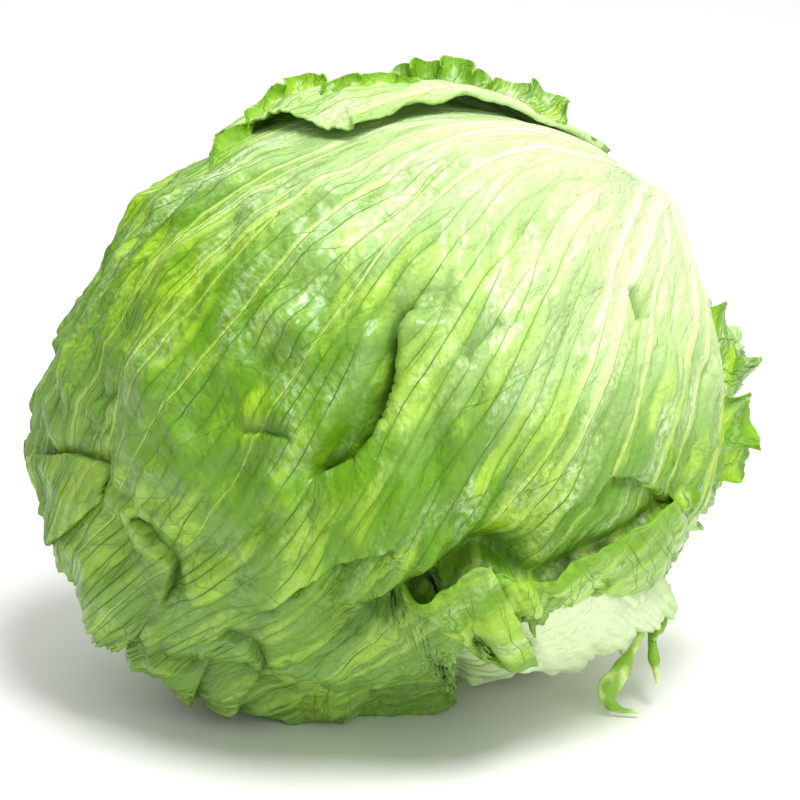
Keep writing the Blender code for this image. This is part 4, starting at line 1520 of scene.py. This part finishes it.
def leaf_material(name, green, pale_reach):
    n = Nodes(name + "_flesh")
    light, dark, pale = green_colours(green)
    streaks = n.noise(n.lines_map(5 * MM, 20 * MM), detail=4, roughness=0.6, distortion=0.5)
    patches = n.noise(n.solid_map(24 * MM), detail=3)
    colour = n.mix(n.ramp(n.plus(streaks, n.times(patches, 0.6)), 0.64, 0.84), light, dark)

    # The flesh is nearly white where it leaves the stem, and turns green along streaks.
    from_stem = n.value("from_stem")
    uneven = n.noise(n.lines_map(7 * MM, 45 * MM), detail=3)
    low, high = pale_reach
    paleness = n.ramp(n.plus(from_stem, n.times(uneven, 0.26)), high, low)
    colour = n.mix(paleness, colour, pale)

    # Broad soft ribs, and a faint shade beside each vein.
    rib_gap, rib_width = n.value("rib_gap"), n.value("rib_width")
    rib = n.times(n.ramp(n.math("DIVIDE", rib_gap, rib_width), 0.75, 0.25), n.ramp(rib_width, 0.35, 0.9))
    rib_colour = n.mix(paleness, RIB_COLOUR, PALE_RIB_COLOUR)
    colour = n.mix(n.times(rib, n.plus(0.6, n.times(paleness, 0.25))), colour, rib_colour)
    beside_vein = n.ramp(n.value("vein_gap"), 1.1, 0.1)
    shade = n.times(beside_vein, n.math("SUBTRACT", 0.26, n.times(paleness, 0.2)))
    colour = n.mix(n.times(shade, n.math("SUBTRACT", 1.0, rib)), colour, VEIN_COLOUR)

    # Painted sheen: pale mottled highlights painted over the blistered flesh, most near the stem, and left
    # off where shade is painted.
    deep = n.value("deep")
    patch = n.ramp(n.noise(n.lines_map(9 * MM, 26 * MM), detail=4, roughness=0.65), 0.46, 0.66)
    speckle = n.ramp(n.noise(n.lines_map(0.9 * MM, 1.2 * MM), detail=3, roughness=0.65), 0.34, 0.72)
    sheen_near_stem = n.ramp(from_stem, 0.78, 0.46)
    painted_sheen = n.times(n.times(patch, speckle), n.times(sheen_near_stem, 0.78))
    colour = n.mix(n.times(painted_sheen, n.math("SUBTRACT", 1.0, deep)), colour, PAINTED_SHEEN_COLOUR)

    # Painted shade: flesh in hollows and under steps is darkened.
    colour = n.mix(n.times(deep, 0.75), colour, PAINTED_SHADE_COLOUR)

    # The fine net between the veins shows in places.
    net = n.cell_edge(n.bent(n.lines_map(1.5 * MM, 2.8 * MM), 0.7, 1.1))
    shown = n.ramp(n.noise(n.solid_map(11 * MM), detail=2), 0.42, 0.62)
    colour = n.mix(n.times(n.ramp(net, 0.11, 0.01), n.times(shown, 0.18)), colour, VEIN_COLOUR)

    # Towards the crown the veins themselves join into a wider net.
    wide_net = n.cell_edge(n.bent(n.lines_map(5.0 * MM, 7.5 * MM), 0.9, 1.3))
    to_crown = n.ramp(from_stem, 0.58, 0.72)
    colour = n.mix(n.times(n.ramp(wide_net, 0.045, 0.012), n.times(to_crown, 0.5)), colour, VEIN_COLOUR)

    # The outermost flesh, towards the crown, is duller.
    dull = n.times(n.ramp(from_stem, 0.56, 0.80), n.plus(0.12, n.times(patches, 0.45)))
    colour = n.mix(dull, colour, DULL_COLOUR)

    # The thin rim is a brighter, deeper green.
    rim = n.ramp(n.plus(n.value("edge"), n.times(patches, 5.0)), 8.0, 1.5)
    colour = n.mix(n.times(rim, 0.45), colour, EDGE_COLOUR)

    # The surface: small blisters drawn out along the veins, cells of the net and a fine grain.
    blisters = n.noise(n.lines_map(1.9 * MM, 3.6 * MM), detail=2, distortion=0.6)
    normal = n.bump(blisters, 0.9 * MM)
    normal = n.bump(n.ramp(net, 0.0, 0.45), 0.14 * MM, normal)
    normal = n.bump(n.noise(n.solid_map(0.8 * MM), detail=2), 0.14 * MM, normal)
    gloss = n.noise(n.solid_map(9 * MM), detail=3)
    n.shader.inputs["IOR"].default_value = 1.28
    n.shader.inputs["Coat Weight"].default_value = 0.3
    n.shader.inputs["Coat Roughness"].default_value = 0.2
    n.scatter(0.14, (0.7, 1.0, 0.2), 1.2 * MM)
    return n.finish(colour, normal, n.plus(n.times(gloss, 0.30), 0.20))


def vein_material(name, pale_reach):
    n = Nodes(name + "_lines")
    patches = n.noise(n.solid_map(13 * MM), detail=2)
    colour = n.mix(n.ramp(patches, 0.35, 0.65), VEIN_COLOUR, LIGHTER_VEIN_COLOUR)
    low, high = pale_reach
    near_stem = n.ramp(n.plus(n.value("from_stem"), n.times(patches, 0.2)), high - 0.12, low - 0.06)
    colour = n.mix(near_stem, colour, PALE_VEIN_COLOUR)
    n.shader.inputs["IOR"].default_value = 1.3
    return n.finish(colour, n.bump(n.noise(n.solid_map(0.8 * MM), detail=2), 0.06 * MM), 0.6)


def strand_material():
    n = Nodes("strand_flesh")
    streaks = n.noise(n.solid_map(7 * MM), detail=3)
    colour = n.mix(n.ramp(streaks, 0.40, 0.58), *STRAND_COLOURS)
    n.scatter(0.2, (0.7, 1.0, 0.25), 1.0 * MM)
    return n.finish(colour, n.bump(n.noise(n.solid_map(1.2 * MM), detail=2), 0.2 * MM), 0.4)


def heart_material():
    n = Nodes("heart_flesh")
    streaks = n.noise(n.solid_map(12 * MM), detail=4)
    colour = n.mix(n.ramp(streaks, 0.35, 0.7), *HEART_COLOURS)
    return n.finish(colour, n.bump(n.noise(n.solid_map(4 * MM), detail=3), 0.3 * MM), 0.42)


def stem_material():
    n = Nodes("stem_flesh")
    coarse = n.noise(n.solid_map(5 * MM), detail=4)
    fine = n.noise(n.solid_map(1.1 * MM), detail=3)
    colour = n.mix(n.ramp(coarse, 0.35, 0.7), *CUT_COLOURS)
    colour = n.mix(n.times(n.ramp(fine, 0.55, 0.75), 0.55), colour, BROWNED_COLOUR)
    n.scatter(0.15, (1.0, 0.8, 0.4), 1.5 * MM)
    return n.finish(colour, n.bump(fine, 0.35 * MM), 0.6)


def floor_material():
    n = Nodes("floor_paint")
    faint = n.noise(n.solid_map(60 * MM), detail=3)
    n.link(n.mix(n.times(faint, 0.5), *FLOOR_COLOURS), n.shader.inputs["Base Color"])
    n.shader.inputs["Roughness"].default_value = 0.7
    return n.material


# Stage.


FLOOR_HALF = 3.0


def make_floor():
    corners = np.array(((-1, -1, 0), (1, -1, 0), (1, 1, 0), (-1, 1, 0))) * FLOOR_HALF
    mesh_object("floor", corners, np.array(((0, 1, 2, 3),)), floor_material())


def make_camera():
    data = bpy.data.cameras.new("camera")
    data.sensor_width = SENSOR_WIDTH
    data.lens = SENSOR_WIDTH * CAMERA_DISTANCE / FRAME_WIDTH
    camera = bpy.data.objects.new("camera", data)
    bpy.context.scene.collection.objects.link(camera)
    target = Vector(CENTRE) + Vector((VIEW_RIGHT, 0, 0))
    camera.location = target + Vector(TO_FRONT) * CAMERA_DISTANCE
    camera.rotation_euler = Vector(TO_FRONT).to_track_quat("Z", "Y").to_euler()
    bpy.context.scene.camera = camera


def make_light(name, position, size, power):
    data = bpy.data.lights.new(name, "AREA")
    data.shape = "DISK"
    data.size = size
    data.energy = power
    light = bpy.data.objects.new(name, data)
    light.location = position
    light.rotation_euler = (Vector(position) - Vector(CENTRE)).to_track_quat("Z", "Y").to_euler()
    bpy.context.scene.collection.objects.link(light)


LIGHTS = (  # position, size and power
    ("key", (0.22, -0.24, 1.05), 0.5, 12),
    ("back", (-0.20, 0.70, 0.90), 1.3, 4.5),
    ("fill", (0.60, -0.95, 0.35), 0.9, 3.4),
)
SKY = 0.48


def make_lights():
    for light in LIGHTS:
        make_light(*light)
    world = bpy.data.worlds.new("studio")
    world.use_nodes = True
    background = world.node_tree.nodes["Background"]
    background.inputs["Color"].default_value = (1, 1, 1, 1)
    background.inputs["Strength"].default_value = SKY
    bpy.context.scene.world = world
    bpy.context.scene.view_settings.view_transform = "Standard"


def surface_tree(pieces):
    """All the pieces' faces as one search tree."""
    vertices, faces = [], []
    for piece in pieces:
        count = len(piece.data.vertices)
        points = np.empty(count * 3, np.float32)
        piece.data.vertices.foreach_get("co", points)
        corners = np.empty(len(piece.data.loops), np.int32)
        piece.data.loops.foreach_get("vertex_index", corners)
        faces.extend((corners.reshape(-1, 4) + len(vertices)).tolist())
        vertices.extend(points.reshape(-1, 3).tolist())
    return BVHTree.FromPolygons(vertices, faces)


def main():
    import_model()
    make_camera()
    make_lights()
    make_floor()
    pieces = [(make_stem(), "stem"), (make_heart(), "heart")]
    blades = []
    for order, leaf in enumerate(LEAVES):
        made = make_leaf(order)
        blades.append(made[0])
        pieces += [(piece, leaf.name) for piece in made]
    tree = surface_tree(blades)
    for frill in FRILLS:
        pieces += [(piece, frill.home) for piece in make_frill(frill, tree)]
    for lobe in LOBES:
        pieces += [(piece, lobe.home) for piece in make_lobe(lobe, tree)]
    pieces += [(make_strand(strand), "leaf_front") for strand in STRANDS]
    for piece, node in pieces:
        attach(piece, "root")
        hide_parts(node)


main()
